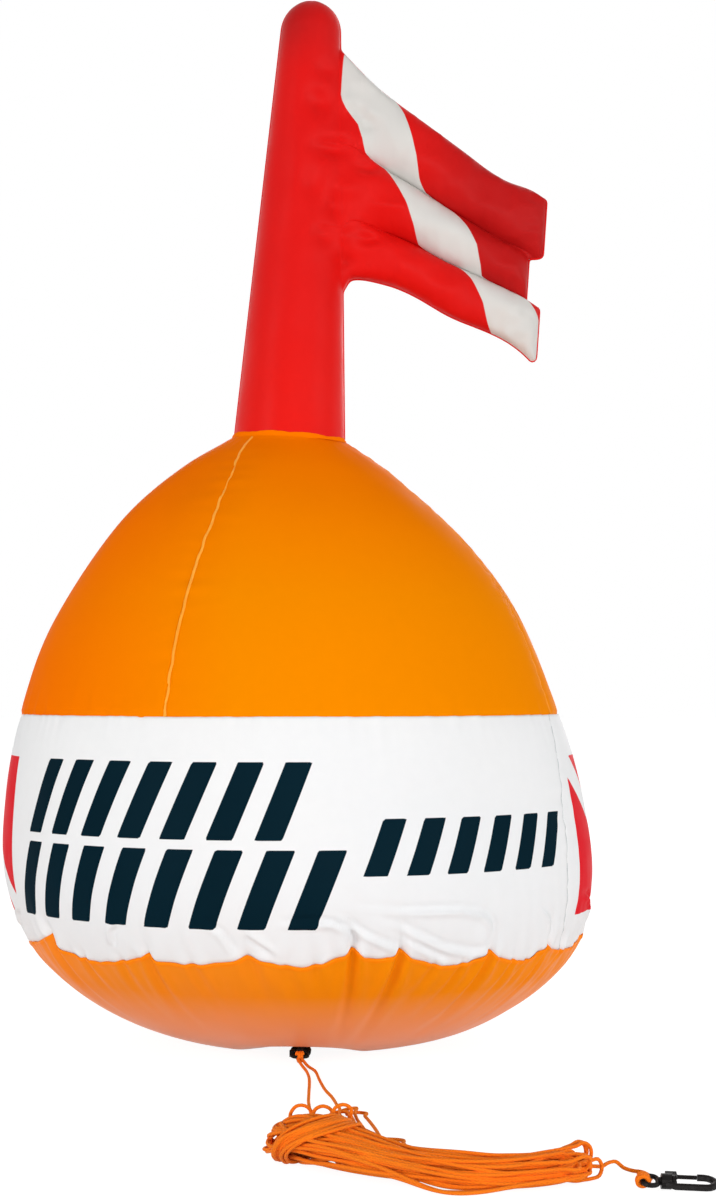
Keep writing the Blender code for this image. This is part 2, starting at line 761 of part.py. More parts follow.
def build_hook(prefix, frame, collection, cutters, black):
    """Swivel snap hook lying in the XY plane of its frame."""
    body = to_mesh(curve_object(prefix + "_body", [hook_path()], HOOK_WIRE, collection, frame), black)
    sleeve = rod(prefix + "_sleeve", (COLLAR_START, 0, 0), (COLLAR_END, 0, 0), COLLAR_RADIUS, 20,
                 cutters, None, frame)
    ear = box_tool(prefix + "_ear", (EAR_START, HOOK_HALF_WIDTH - 0.5 * EAR_WIDTH - HOOK_WIRE,
                                     -0.5 * EAR_THICKNESS),
                   (GATE_HINGE + 0.5 * HOOK_WIRE, HOOK_HALF_WIDTH + 0.5 * EAR_WIDTH, 0.5 * EAR_THICKNESS),
                   cutters, frame)
    slot = box_tool(prefix + "_slot", (GATE_HINGE - GATE_BARREL_RADIUS - GAP, -HOOK_WIRE,
                                       -0.5 * EAR_SLOT),
                    (GATE_HINGE + EAR_LENGTH, HOOK_HALF_WIDTH + EAR_WIDTH, 0.5 * EAR_SLOT),
                    cutters, frame)
    bore = rod(prefix + "_bore", (COLLAR_START - EAR_LENGTH, 0, 0), (COLLAR_END + EAR_LENGTH, 0, 0),
               COLLAR_BORE_RADIUS, 20, cutters, None, frame)
    room = rod(prefix + "_head_room", (COLLAR_END, 0, 0),
               (COLLAR_END + SWIVEL_HEAD_LENGTH + 3.0 * GAP, 0, 0), SWIVEL_HEAD_RADIUS + GAP, 20,
               cutters, None, frame)
    reach = EAR_THICKNESS
    pin_hole = rod(prefix + "_pin_hole", (GATE_HINGE, HOOK_HALF_WIDTH, -reach),
                   (GATE_HINGE, HOOK_HALF_WIDTH, reach), GATE_PIN_RADIUS + GATE_PIN_CLEARANCE, 12,
                   cutters, None, frame)
    join_or_cut(body, as_cutter(sleeve), "UNION")
    join_or_cut(body, as_cutter(ear), "UNION")
    join_or_cut(body, as_cutter(slot), "DIFFERENCE")
    join_or_cut(body, as_cutter(bore), "DIFFERENCE")
    join_or_cut(body, as_cutter(room), "DIFFERENCE")
    join_or_cut(body, as_cutter(pin_hole), "DIFFERENCE")

    eye = to_mesh(curve_object(prefix + "_eye", [eye_path()], HOOK_EYE_WIRE, collection, frame,
                               cyclic=True), black)
    stem = rod(prefix + "_stem", (EYE_FAR_BAR, 0, 0), (COLLAR_END + 2.0 * GAP, 0, 0),
               SWIVEL_STEM_RADIUS, 16, cutters, None, frame)
    head = rod(prefix + "_head", (COLLAR_END + GAP, 0, 0),
               (COLLAR_END + GAP + SWIVEL_HEAD_LENGTH, 0, 0), SWIVEL_HEAD_RADIUS, 16,
               cutters, None, frame)
    join_or_cut(eye, as_cutter(stem), "UNION")
    join_or_cut(eye, as_cutter(head), "UNION")

    hinge = bpy.data.objects.new(prefix + "_gate_hinge", None)
    hinge.empty_display_size = 0.004
    collection.objects.link(hinge)
    hinge.parent = frame
    hinge.location = (GATE_HINGE, HOOK_HALF_WIDTH, 0.0)
    gate = rod(prefix + "_gate", (0, 0, -0.5 * GATE_BARREL_THICKNESS),
               (0, 0, 0.5 * GATE_BARREL_THICKNESS), GATE_BARREL_RADIUS, 16, collection, black, hinge)
    arm = rod(prefix + "_gate_arm", (0.5 * GATE_BARREL_RADIUS, 0, 0),
              (NOSE_END - GATE_HINGE - GAP, 0, 0), GATE_WIRE, 12, cutters, None, hinge)
    gate_hole = rod(prefix + "_gate_hole", (0, 0, -reach), (0, 0, reach),
                    GATE_PIN_RADIUS + GATE_PIN_CLEARANCE, 12, cutters, None, hinge)
    join_or_cut(gate, as_cutter(arm), "UNION")
    join_or_cut(gate, as_cutter(gate_hole), "DIFFERENCE")
    rod(prefix + "_gate_pin", (0, 0, -0.5 * EAR_THICKNESS), (0, 0, 0.5 * EAR_THICKNESS),
        GATE_PIN_RADIUS, 10, collection, black, hinge)


def belt(front, front_radius, rear, rear_radius, points=14):
    """Closed outline of a belt round two circles, in a plane."""
    front = Vector(front)
    rear = Vector(rear)
    apart = (front - rear).length
    heading = math.atan2(front.y - rear.y, front.x - rear.x)
    open_turn = math.acos((rear_radius - front_radius) / apart)
    outline = []
    for k in range(points + 1):
        turn = heading - open_turn + 2.0 * open_turn * k / points
        outline.append((front.x + front_radius * math.cos(turn), front.y + front_radius * math.sin(turn)))
    for k in range(points + 1):
        turn = heading + open_turn + 2.0 * (math.pi - open_turn) * k / points
        outline.append((rear.x + rear_radius * math.cos(turn), rear.y + rear_radius * math.sin(turn)))
    return outline


def flat_plate(name, outlines, thickness, collection, material, parent=None):
    """Flat outline, with holes, extruded both ways."""
    curve = bpy.data.curves.new(name, "CURVE")
    curve.dimensions = "2D"
    curve.fill_mode = "BOTH"
    curve.extrude = 0.5 * thickness
    for outline in outlines:
        spline = curve.splines.new("POLY")
        spline.points.add(len(outline) - 1)
        for target, point in zip(spline.points, outline):
            target.co = (point[0], point[1], 0.0, 1.0)
        spline.use_cyclic_u = True
    item = add_object(name, curve, collection, None, parent)
    return to_mesh(item, material)


def underside_height(radius):
    """Height of the round body's underside above the floor."""
    under = PROFILE[:, 1] < RISE_HEIGHT
    return float(np.interp(radius, PROFILE[under, 0], PROFILE[under, 1]))


def build_tether(collection, orange, black):
    """Loop of strap that holds the upper hook's bow, and its weld patch."""
    bow_bar_y = UPPER_HOOK_Y + HOOK_LENGTH - HOOK_WIRE
    bow_sag = HOOK_HALF_WIDTH - math.sqrt(HOOK_HALF_WIDTH**2 - (0.5 * LOOP_WIDTH) ** 2)
    around = HOOK_WIRE + 1.5 * GAP + 0.5 * bow_sag
    front = (bow_bar_y - 0.5 * bow_sag, HOOK_LIFT)
    rear = (bow_bar_y + LOOP_REACH, HOOK_LIFT - LOOP_DROP)
    outer = belt(front, around + LOOP_STRAP, rear, LOOP_REAR_RADIUS)
    inner = belt(front, around, rear, LOOP_REAR_RADIUS - LOOP_STRAP)
    turn = Matrix(((0, 0, 1), (1, 0, 0), (0, 1, 0)))
    frame = add_empty("tether_frame", collection, (UPPER_HOOK_X, 0.0, 0.0), turn)
    loop = flat_plate("tether_loop", [outer, inner], LOOP_WIDTH, collection, black, frame)

    def place(row, column):
        x = UPPER_HOOK_X + (column - 0.5) * PATCH_WIDTH
        y = PATCH_FRONT + row * (PATCH_REAR - PATCH_FRONT)
        rise = underside_height(math.hypot(x - lean_at(0.0), y))
        return Vector((x, y, rise + hollow_at(x, y) - 2.0 * GAP))

    bm = grid_sheet(PATCH_CELLS, PATCH_CELLS, place)
    face_outward(bm, Vector((0, 0, 0.1)))
    patch = add_object("tether_patch", mesh_from("tether_patch", bm), collection, orange)
    solidify(patch, SHEET, offset=1.0)
    return loop, patch


def valve_frame():
    """Place on the rear gore, with Z out of the skin and X down it."""
    length = length_at_height(VALVE_HEIGHT)
    middle = skin_point(length, VALVE_ANGLE)
    out = (skin_point(length, VALVE_ANGLE, 0.01) - middle).normalized()
    side = (skin_point(length, VALVE_ANGLE + 0.01) - middle).normalized()
    down = side.cross(out).normalized()
    side = out.cross(down)
    turn = Matrix((down, side, out)).transposed()
    return length, middle, turn


def build_valve(collection, cutters, gore, clear):
    length, middle, turn = valve_frame()
    frame = add_empty("valve_frame", collection, middle, turn)
    radius = float(np.interp(length, PROFILE_LENGTH, PROFILE[:, 0]))

    bm = bmesh.new()
    bmesh.ops.create_circle(bm, cap_ends=True, cap_tris=True, segments=24, radius=VALVE_FLANGE_RADIUS)
    for vert in bm.verts:
        along = length - vert.co.x
        angle = VALVE_ANGLE + vert.co.y / radius
        vert.co = frame.matrix_world.inverted() @ skin_point(along, angle, GAP)
    face_outward(bm, Vector((0, 0, -0.05)))
    flange = add_object("valve_body", mesh_from("valve_body", bm), collection, clear, frame)
    solidify(flange, VALVE_FLANGE_THICKNESS, offset=1.0)
    tube = rod("valve_tube", (0, 0, -VALVE_TUBE_INNER), (0, 0, VALVE_MOUTH), VALVE_TUBE_RADIUS, 24,
               cutters, None, frame)
    bore = rod("valve_bore", (0, 0, -2 * VALVE_TUBE_INNER), (0, 0, 2 * VALVE_TUBE_INNER),
               VALVE_BORE_RADIUS, 24, cutters, None, frame)
    join_or_cut(flange, as_cutter(tube), "UNION")
    join_or_cut(flange, as_cutter(bore), "DIFFERENCE")
    hole = rod("gore_hole", (0, 0, -VALVE_TUBE_INNER), (0, 0, VALVE_TUBE_INNER),
               VALVE_TUBE_RADIUS + GAP, 24, cutters, None, frame)
    join_or_cut(gore, as_cutter(hole), "DIFFERENCE")

    cap_low = VALVE_MOUTH + GAP
    cap_top = cap_low + PLUG_CAP_THICKNESS
    plug = [(0.0, cap_top), (PLUG_CAP_RADIUS, cap_top), (PLUG_CAP_RADIUS, cap_low),
            (PLUG_PIN_RADIUS, cap_low), (PLUG_PIN_RADIUS, cap_low - PLUG_PIN_LENGTH + PLUG_LEAD_IN),
            (PLUG_PIN_RADIUS - PLUG_LEAD_IN, cap_low - PLUG_PIN_LENGTH),
            (0.0, cap_low - PLUG_PIN_LENGTH)]
    turned("valve_plug", plug, 24, collection, clear, frame, closed=False)

    cap_middle = 0.5 * (cap_low + cap_top)
    flange_top = VALVE_FLANGE_THICKNESS + 2.0 * GAP
    seat = float(frame.matrix_world.inverted().to_3x3().row[2].dot(
        skin_point(length - STRAP_REACH, VALVE_ANGLE) - middle))
    arch = hermite([
        (PLUG_CAP_RADIUS + GAP, cap_middle), (STRAP_CREST, cap_top + STRAP_RISE),
        (STRAP_REACH, seat + flange_top + 0.5 * STRAP_THICKNESS)], 8)
    outline = []
    for sign in (1.0, -1.0):
        side_points = []
        for k, point in enumerate(arch):
            ahead = arch[min(k + 1, len(arch) - 1)] - arch[max(k - 1, 0)]
            ahead = ahead / np.linalg.norm(ahead)
            offset = 0.5 * STRAP_THICKNESS * sign
            side_points.append((point[0] - offset * ahead[1], point[1] + offset * ahead[0]))
        outline += side_points if sign > 0 else side_points[::-1]
    strap_turn = Matrix(((1, 0, 0), (0, 0, -1), (0, 1, 0)))
    strap_frame = add_empty("strap_frame", collection, middle, turn @ strap_turn)
    flat_plate("valve_tether", [outline], STRAP_WIDTH, collection, clear, strap_frame)

    hinge = bpy.data.objects.new("valve_flap_hinge", None)
    hinge.empty_display_size = 0.004
    collection.objects.link(hinge)
    hinge.parent = frame
    flap_top = -VALVE_TUBE_INNER - GAP
    hinge.location = (FLAP_RADIUS, 0.0, flap_top)
    rod("valve_flap", (-FLAP_RADIUS, 0, 0), (-FLAP_RADIUS, 0, -FLAP_THICKNESS), FLAP_RADIUS, 24,
        collection, clear, hinge)


def tube_node(name, route, collection, material):
    """Round cord along a smooth route, as a plain tube."""
    curve = hermite(route, 12)
    lengths = np.concatenate([[0.0], np.cumsum(np.linalg.norm(np.diff(curve, axis=0), axis=1))])
    count = max(int(lengths[-1] / CORD_SPACING), 4)
    even = np.linspace(0.0, lengths[-1], count + 1)
    points = [tuple(float(np.interp(s, lengths, curve[:, k])) for k in range(3)) for s in even]
    item = curve_object(name, [points], 0.5 * CORD_DIAMETER, collection)
    item.data.materials.append(material)
    return item


def build_hank(collection, cord):
    """Closed solids of the hank and of its flat loops, lying on the floor."""
    stations = hermite(HANK_STATIONS, 6)
    share = np.linspace(0.0, 1.0, len(stations))
    step = 1.0 / (2.0 * HANK_RINGS)
    bm = bmesh.new()
    bmesh.ops.create_uvsphere(bm, u_segments=HANK_SIDES, v_segments=HANK_RINGS, radius=1.0)
    for vert in bm.verts:
        along = 0.5 * (1.0 + vert.co.z)
        x, y, half_depth, height = (float(np.interp(along, share, stations[:, k])) for k in range(4))
        ahead = [float(np.interp(min(along + step, 1.0), share, stations[:, k])
                       - np.interp(max(along - step, 0.0), share, stations[:, k])) for k in (0, 1)]
        heading = Vector((ahead[0], ahead[1], 0.0)).normalized()
        across = Vector((-heading.y, heading.x, 0.0))
        turn = math.atan2(vert.co.y, vert.co.x)
        round_off = max(1.0 - abs(vert.co.z) ** HANK_ROUNDNESS, 0.0) ** (1.0 / HANK_ROUNDNESS)
        lift = 0.5 * height * (1.0 + round_off * math.sin(turn))
        vert.co = (Vector((x, y, max(lift, 0.0)))
                   + across * half_depth * round_off * math.cos(turn))
    bm.normal_update()
    add_object("cord_hank", mesh_from("cord_hank", bm), collection, cord)

    bm = bmesh.new()
    bmesh.ops.create_uvsphere(bm, u_segments=LOOPS_SIDES, v_segments=LOOPS_RINGS, radius=1.0)
    for vert in bm.verts:
        vert.co = Vector((HANK_LOOPS_MIDDLE[0] + HANK_LOOPS_HALF_WIDTH * vert.co.x,
                          HANK_LOOPS_MIDDLE[1] + HANK_LOOPS_HALF_LENGTH * vert.co.y,
                          0.5 * HANK_LOOPS_HEIGHT * (1.0 + vert.co.z)))
    add_object("cord_hank_loops", mesh_from("cord_hank_loops", bm), collection, cord)


def knot(name, frame, collection, cord):
    """Turns of cord round the bar of a hook's eye."""
    inner = HOOK_EYE_WIRE + GAP
    half = 0.5 * KNOT_WIDTH
    profile = [(inner, half), (KNOT_RADIUS - KNOT_CHAMFER, half), (KNOT_RADIUS, half - KNOT_CHAMFER),
               (KNOT_RADIUS, KNOT_CHAMFER - half), (KNOT_RADIUS - KNOT_CHAMFER, -half), (inner, -half)]
    item = turned(name, profile, 20, collection, cord, frame)
    item.location = (HOOK_EYE_BAR, 0.0, 0.0)
    item.rotation_euler = (0.5 * math.pi, 0.0, 0.0)
    return item


def main():
    clear_scene()
    collection = new_collection("marker_buoy")
    cutters = new_collection("cutters")
    orange = make_material("orange_sheet", ORANGE, 0.35)
    white = make_material("white_sheet", WHITE, 0.35)
    red = make_material("red_sheet", RED, 0.45)
    black = make_material("black_acetal", BLACK, 0.40)
    clear = make_material("soft_clear", CLEAR, 0.30)
    cord = make_material("orange_cord", CORD_ORANGE, 0.80)

    gores = build_body(collection, orange, white)

    mast_turn = Matrix.Rotation(MAST_LEAN, 3, "Y")
    mast_frame = add_empty("mast_frame", collection,
                           (lean_at(MAST_FOOT_HEIGHT), 0.0, MAST_FOOT_HEIGHT), mast_turn)
    build_mast(collection, mast_frame, red)
    build_collar(collection, mast_frame, orange)

    upper_frame = add_empty("upper_hook_frame", collection, (UPPER_HOOK_X, UPPER_HOOK_Y, HOOK_LIFT),
                            Matrix.Rotation(0.5 * math.pi, 3, "Z"))
    build_hook("upper_hook", upper_frame, collection, cutters, black)
    lower_turn = Matrix.Rotation(LOWER_HOOK_PITCH, 3, "Y") @ Matrix.Rotation(LOWER_HOOK_ROLL, 3, "X")
    lower_frame = add_empty("lower_hook_frame", collection, (LOWER_HOOK_X, LOWER_HOOK_Y, LOWER_HOOK_LIFT),
                            lower_turn)
    build_hook("lower_hook", lower_frame, collection, cutters, black)
    build_tether(collection, orange, black)
    build_valve(collection, cutters, gores["upper_gore_rear"], clear)

    knot("knot_upper", upper_frame, collection, cord)
    knot("knot_lower", lower_frame, collection, cord)
    tube_node("cord_lead_left", LEAD_LEFT_ROUTE, collection, cord)
    tube_node("cord_lead_right", LEAD_RIGHT_ROUTE, collection, cord)
    tube_node("cord_tail", TAIL_ROUTE, collection, cord)
    build_hank(collection, cord)


main()
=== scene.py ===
"""Looks of an inflatable signal buoy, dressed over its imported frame.

The body's welded sheets, the mast with its flag, the collar, the valve, the line and
the hooks get their fine shapes and finishes here.  Metres, +Z up, front towards -Y.
"""

import json
import math

import bpy
import numpy as np
from bpy.props import FloatProperty, FloatVectorProperty, IntProperty, PointerProperty
from mathutils import Matrix, Vector


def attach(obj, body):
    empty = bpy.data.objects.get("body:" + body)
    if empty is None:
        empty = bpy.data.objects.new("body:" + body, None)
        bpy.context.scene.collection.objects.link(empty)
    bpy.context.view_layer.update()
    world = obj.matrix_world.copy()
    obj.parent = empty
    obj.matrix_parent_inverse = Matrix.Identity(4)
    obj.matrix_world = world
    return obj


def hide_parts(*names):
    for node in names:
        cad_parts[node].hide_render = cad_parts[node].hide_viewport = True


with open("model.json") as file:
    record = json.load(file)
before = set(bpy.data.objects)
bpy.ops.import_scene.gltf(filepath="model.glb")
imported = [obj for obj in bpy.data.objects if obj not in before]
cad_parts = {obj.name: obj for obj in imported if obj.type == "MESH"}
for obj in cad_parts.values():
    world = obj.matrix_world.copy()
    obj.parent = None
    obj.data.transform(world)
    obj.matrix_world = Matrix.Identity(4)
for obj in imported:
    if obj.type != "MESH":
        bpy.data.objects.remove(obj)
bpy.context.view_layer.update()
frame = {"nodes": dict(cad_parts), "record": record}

bl_info = {
    "name": "Signal buoy looks",
    "version": (1, 0, 0),
    "blender": (4, 5, 0),
    "location": "View3D > Sidebar > Buoy",
    "description": "Dresses the frame of an inflatable signal buoy with its sheets, flag, valve and line",
    "category": "Object",
}

# Round body: half width and height from the edge of the flat foot up to the mast
PROFILE_POINTS = [
    (0.0466, 0.0), (0.0790, 0.0035), (0.1128, 0.0160), (0.1421, 0.0360), (0.1626, 0.0610),
    (0.1740, 0.1000), (0.1704, 0.1500), (0.1601, 0.1940), (0.1390, 0.2500), (0.1052, 0.3000),
    (0.0661, 0.3360), (0.0332, 0.3580),
]
PROFILE_SAMPLES = 24
BAND_FOOT = 0.0610
BAND_HEAD = 0.1940
SEAM_RADIUS = PROFILE_POINTS[4][0]
# Lean of the body's middle line: at the floor, its slope, and its bow about a height
LEAN_AT_FLOOR = 0.0064
LEAN_SLOPE = -0.0594
LEAN_BOW = 0.1344
LEAN_MIDDLE = 0.1200
# The crown lies over to the right and tilts with the mast between these heights
CROWN_SHIFT = 0.0026
SHIFT_START = 0.2200
SHIFT_END = 0.3400
MAST_LEAN = math.radians(3.0)
TILT_START = 0.2500
TILT_END = 0.3360
# Hollow of the bottom round the upper hook, which ends at a height
HOLLOW_PLACE = (0.0033, -0.0660)
HOLLOW_DEPTH = 0.0075
HOLLOW_RADIUS = 0.0380
HOLLOW_CEILING = 0.0360
# Upright welds, and how far each strays from an upright line at shares of its height, in radians
GORE_SEAMS = [math.radians(-22.5 + 90.0 * k) for k in range(4)]
GORE_SWAY_SHARES = (0.0, 0.3, 0.6, 0.8, 1.0)
GORE_SWAYS = [
    (-0.020, -0.006, -0.006, -0.060, -0.230), (0.070, 0.100, 0.170, 0.250, 0.340),
    (0.020, 0.000, 0.000, 0.010, 0.050), (-0.020, 0.000, 0.000, -0.010, -0.050),
]
GORE_SWAY_REACH = 0.45
BAND_SEAMS = [math.radians(60.0), math.radians(240.0)]
BAND_SWAY_SHARES = (0.0, 0.15, 0.35, 0.6, 0.8, 1.0)
BAND_SWAYS = (0.082, 0.062, 0.044, 0.062, 0.105, 0.165)
BAND_SWAY_REACH = 0.35
# Radii that turn angles into arcs, for the relief and for the prints
MEAN_RADIUS = 0.1700
PRINT_RADIUS = 0.1720
# Run over which the edge of a sheet slips under the next one, and how far the gores run on at the crown
TUCK_RUN = 0.0012
CROWN_LAP = 0.0025
# Closing welds of the band
CLOSING_WELD_WIDTH = 0.0012
CLOSING_WELD_HEIGHT = 0.0005
# Mesh spacing of each sheet as a share of the body's
DOME_MESH = 1.25
BAND_MESH = 0.75
BOTTOM_MESH = 0.80

# Mast and flag, in the mast's own frame: X towards the fly, Z along the mast, its foot at 0
GORE_END_RADIUS = 0.0372
MAST_FOOT_RADIUS = 0.0348
MAST_HEAD_RADIUS = 0.0195
MAST_LENGTH = 0.2645
MAST_ROUND_START = MAST_LENGTH - MAST_HEAD_RADIUS
MAST_FOOT_GAP = 0.0015
MAST_DEPTH_AT_HEAD = 0.92
HOIST_FOOT = 0.0915
HOIST_HEAD = 0.2360
FLAG_TOP_EDGE = [
    (0.0360, 0.2210), (0.0490, 0.2106), (0.0733, 0.1950), (0.0969, 0.1800),
    (0.1205, 0.1650), (0.1364, 0.1599), (0.1450, 0.1558),
]
FLAG_LOWER_EDGE = [
    (0.0344, 0.0992), (0.0550, 0.0973), (0.0709, 0.0921), (0.0943, 0.0807),
    (0.1175, 0.0729), (0.1286, 0.0675), (0.1436, 0.0569),
]
# Shares down the flag of its two inner welds
CREASES_AT_HOIST = (0.41, 0.755)
CREASES_AT_FLY = (0.37, 0.655)
FLAG_WELD_HALF_DEPTH = 0.0006
# How far the fly lies back, and how far the mast's left side lies in
FLAG_SWEEP = 0.0100
LEFT_TRIM = 0.0036
# Share of the flag where the fly starts to close, and how much longer it gets at the end
FLY_CLOSES = 0.88
FLY_LENGTHENS = 0.0042
# Edges of the pale stripe: lobes from the top edge, share of the way to the fly
STRIPE_LEFT = [
    (0.00, 0.030), (0.52, 0.000), (0.58, 0.040), (0.62, 0.100), (0.74, 0.126), (0.92, 0.143), (0.99, 0.175),
    (1.05, 0.230), (1.25, 0.285), (1.45, 0.343), (1.65, 0.379), (1.90, 0.405), (1.98, 0.450),
    (2.04, 0.600), (2.25, 0.674), (2.52, 0.730), (3.00, 0.775),
]
STRIPE_RIGHT = [
    (0.00, 0.277), (0.22, 0.343), (0.42, 0.379), (0.57, 0.399), (0.78, 0.414), (0.94, 0.450), (1.03, 0.560),
    (1.25, 0.650), (1.47, 0.705), (1.70, 0.725), (1.92, 0.735), (2.02, 0.840), (2.10, 0.930),
    (2.35, 1.000), (3.00, 1.160),
]
# Dents of the mast and flag in the mast's frame: place across and along, depth, half width, half height
DENTS = [
    (0.0085, 0.2002, 0.0058, 0.0075, 0.0075), (0.0172, 0.1730, 0.0054, 0.0100, 0.0055),
    (0.0203, 0.1394, 0.0042, 0.0050, 0.0070), (0.0430, 0.1220, 0.0048, 0.0062, 0.0036),
    (0.0293, 0.1223, -0.0026, 0.0045, 0.0045), (0.0396, 0.1639, 0.0038, 0.0060, 0.0035),
    (0.0330, 0.1965, 0.0042, 0.0040, 0.0040), (0.0385, 0.1905, 0.0045, 0.0050, 0.0040),
    (0.0259, 0.2035, -0.0026, 0.0050, 0.0050), (0.0060, 0.1500, 0.0026, 0.0060, 0.0080),
    (0.0300, 0.1500, -0.0029, 0.0080, 0.0060), (0.0150, 0.1210, 0.0032, 0.0060, 0.0060),
    (0.0300, 0.1080, 0.0035, 0.0060, 0.0040), (0.0120, 0.2200, 0.0029, 0.0060, 0.0050),
    (0.0240, 0.1840, -0.0022, 0.0060, 0.0050), (0.0560, 0.1420, -0.0019, 0.0090, 0.0030),
]
# Collar in the mast's frame: half width and height of its outer face, below the lip
COLLAR_PROFILE = [(0.0402, -0.0035), (0.0382, -0.0018), (0.0366, -0.0004), (0.0360, 0.0016)]
COLLAR_LIP_OUTER = 0.0357
COLLAR_LIP_INNER = 0.0351
COLLAR_FOOT_INNER = 0.0352

# Prints of the band: first and last angle in degrees, lower and upper height, and count of bars
BAR_ROWS = [
    (-60.0, 1.0, 0.1290, 0.1700, 7), (-66.0, 6.0, 0.0820, 0.1240, 8), (11.0, 58.0, 0.1100, 0.1400, 6),
]
BAR_SLANT = 0.45
BAR_SHARE = 0.56
PANEL_MIDDLES = (91.5, -90.5)
PANEL_HALF_ANGLE = 22.5
PANEL_FOOT = 0.0790
PANEL_HEAD = 0.1700
DIAGONAL_HALF_WIDTH = 0.0095

# Specular levels of the films, and the length of one crossing of the line's strands
DOME_SPECULAR = 0.0008
BAND_SPECULAR = 0.003
FILM_SPECULAR = 0.07
BOTTOM_SPECULAR = 0.07
STRAND_PITCH = 0.0028

# Stage: the camera, and the lamps as name, place, size and power
CAMERA_PLACE = (0.0357, -1.35, 0.208)
CAMERA_LENS = 67.5
CAMERA_SHIFT = 0.075
LAMP_AIM = (0.0, 0.0, 0.25)
LAMPS = [
    ("key", (-2.0, -1.8, 0.6), (0.9, 1.1), 22.5),
    ("front", (0.8, -3.1, 0.32), (2.2, 0.6), 28.0),
    ("right", (2.3, -1.2, 0.5), (1.2, 0.9), 16.0),
    ("rear", (0.3, 2.6, 1.0), (1.8, 1.6), 21.0),
]
FLOOR_SIZE = 30.0
FLOOR_GLOW = 1.4
FLOOR_GLOW_SHARE = 0.66
WHITE = (1.0, 1.0, 1.0, 1.0)

# Line: its diameter, and the height of its middle where it lies on the floor
CORD_DIAMETER = 0.0017
LINE_LAY = 0.0012
# Knots on the eyes: turns, their half width, their reach along the bar, and half the line's width
KNOT_TURNS = 2.4
KNOT_RADIUS = 0.0024
KNOT_REACH = 0.0034
KNOT_LINE_RADIUS = 0.00095
LEG_KNOT_LINE_RADIUS = 0.0009
# Eyes of the two hooks, whose bars the line is tied to
UPPER_EYE_PLACE = (0.0033, -0.0975, 0.0036)
LOWER_EYE_PLACE = (0.1530, -0.4140, 0.0041)


def route(*rows):
    """Points of a stretch of the line, where a row without a height lies on the floor."""
    return [(*row, LINE_LAY)[:3] for row in rows]


LEAD_LEFT_ROUTE = route(
    (0.0021, -0.1003, 0.0030), (0.0050, -0.1130, 0.0014), (0.0078, -0.1300), (0.0096, -0.1500),
    (0.0102, -0.1700), (0.0104, -0.1890), (0.0106, -0.2050),
)
LEAD_RIGHT_ROUTE = route(
    (0.0046, -0.1003, 0.0030), (0.0080, -0.1130, 0.0014), (0.0124, -0.1288), (0.0152, -0.1561),
    (0.0187, -0.1862), (0.0226, -0.2080), (0.0256, -0.2330, 0.0014), (0.0268, -0.2520, 0.0034),
    (0.0262, -0.2720, 0.0014), (0.0246, -0.2960), (0.0236, -0.3180, 0.0014),
)
TAIL_ROUTE = route(
    (0.1379, -0.3897, 0.0047), (0.1405, -0.3862, 0.0040), (0.1430, -0.3835, 0.0048),
    (0.1457, -0.3818, 0.0054), (0.1484, -0.3812, 0.0038), (0.1512, -0.3815, 0.0015), (0.1545, -0.3822),
    (0.1578, -0.3850), (0.1596, -0.3910), (0.1594, -0.3990), (0.1566, -0.4060, 0.0022),
    (0.1528, -0.4110, 0.0036),
)
# Chord of two steps in the line's tightest bend, and the least height of its middle
TIGHTEST_CHORD = 0.0073
LOWEST_MIDDLE = 0.5 * CORD_DIAMETER + 0.0003
# Turns at the ends of the hank's runs: the gap under which one opens to an eye, and how far they reach
FOLD_WIDTH = 0.0100
FOLD_REACH = 0.0130
WIDE_FOLD_REACH = 0.0220
# Angle from one run to the next in the hank's cross-section, and how far the runs stray there
HANK_TURN = math.radians(137.5)
HANK_DRIFT = 0.24
# Shares of the hank's length: spacing of a run's points, latest start, and the end of a run with an eye
RUN_STEP = 0.012
LATEST_START = 0.11
EYE_END = 0.975
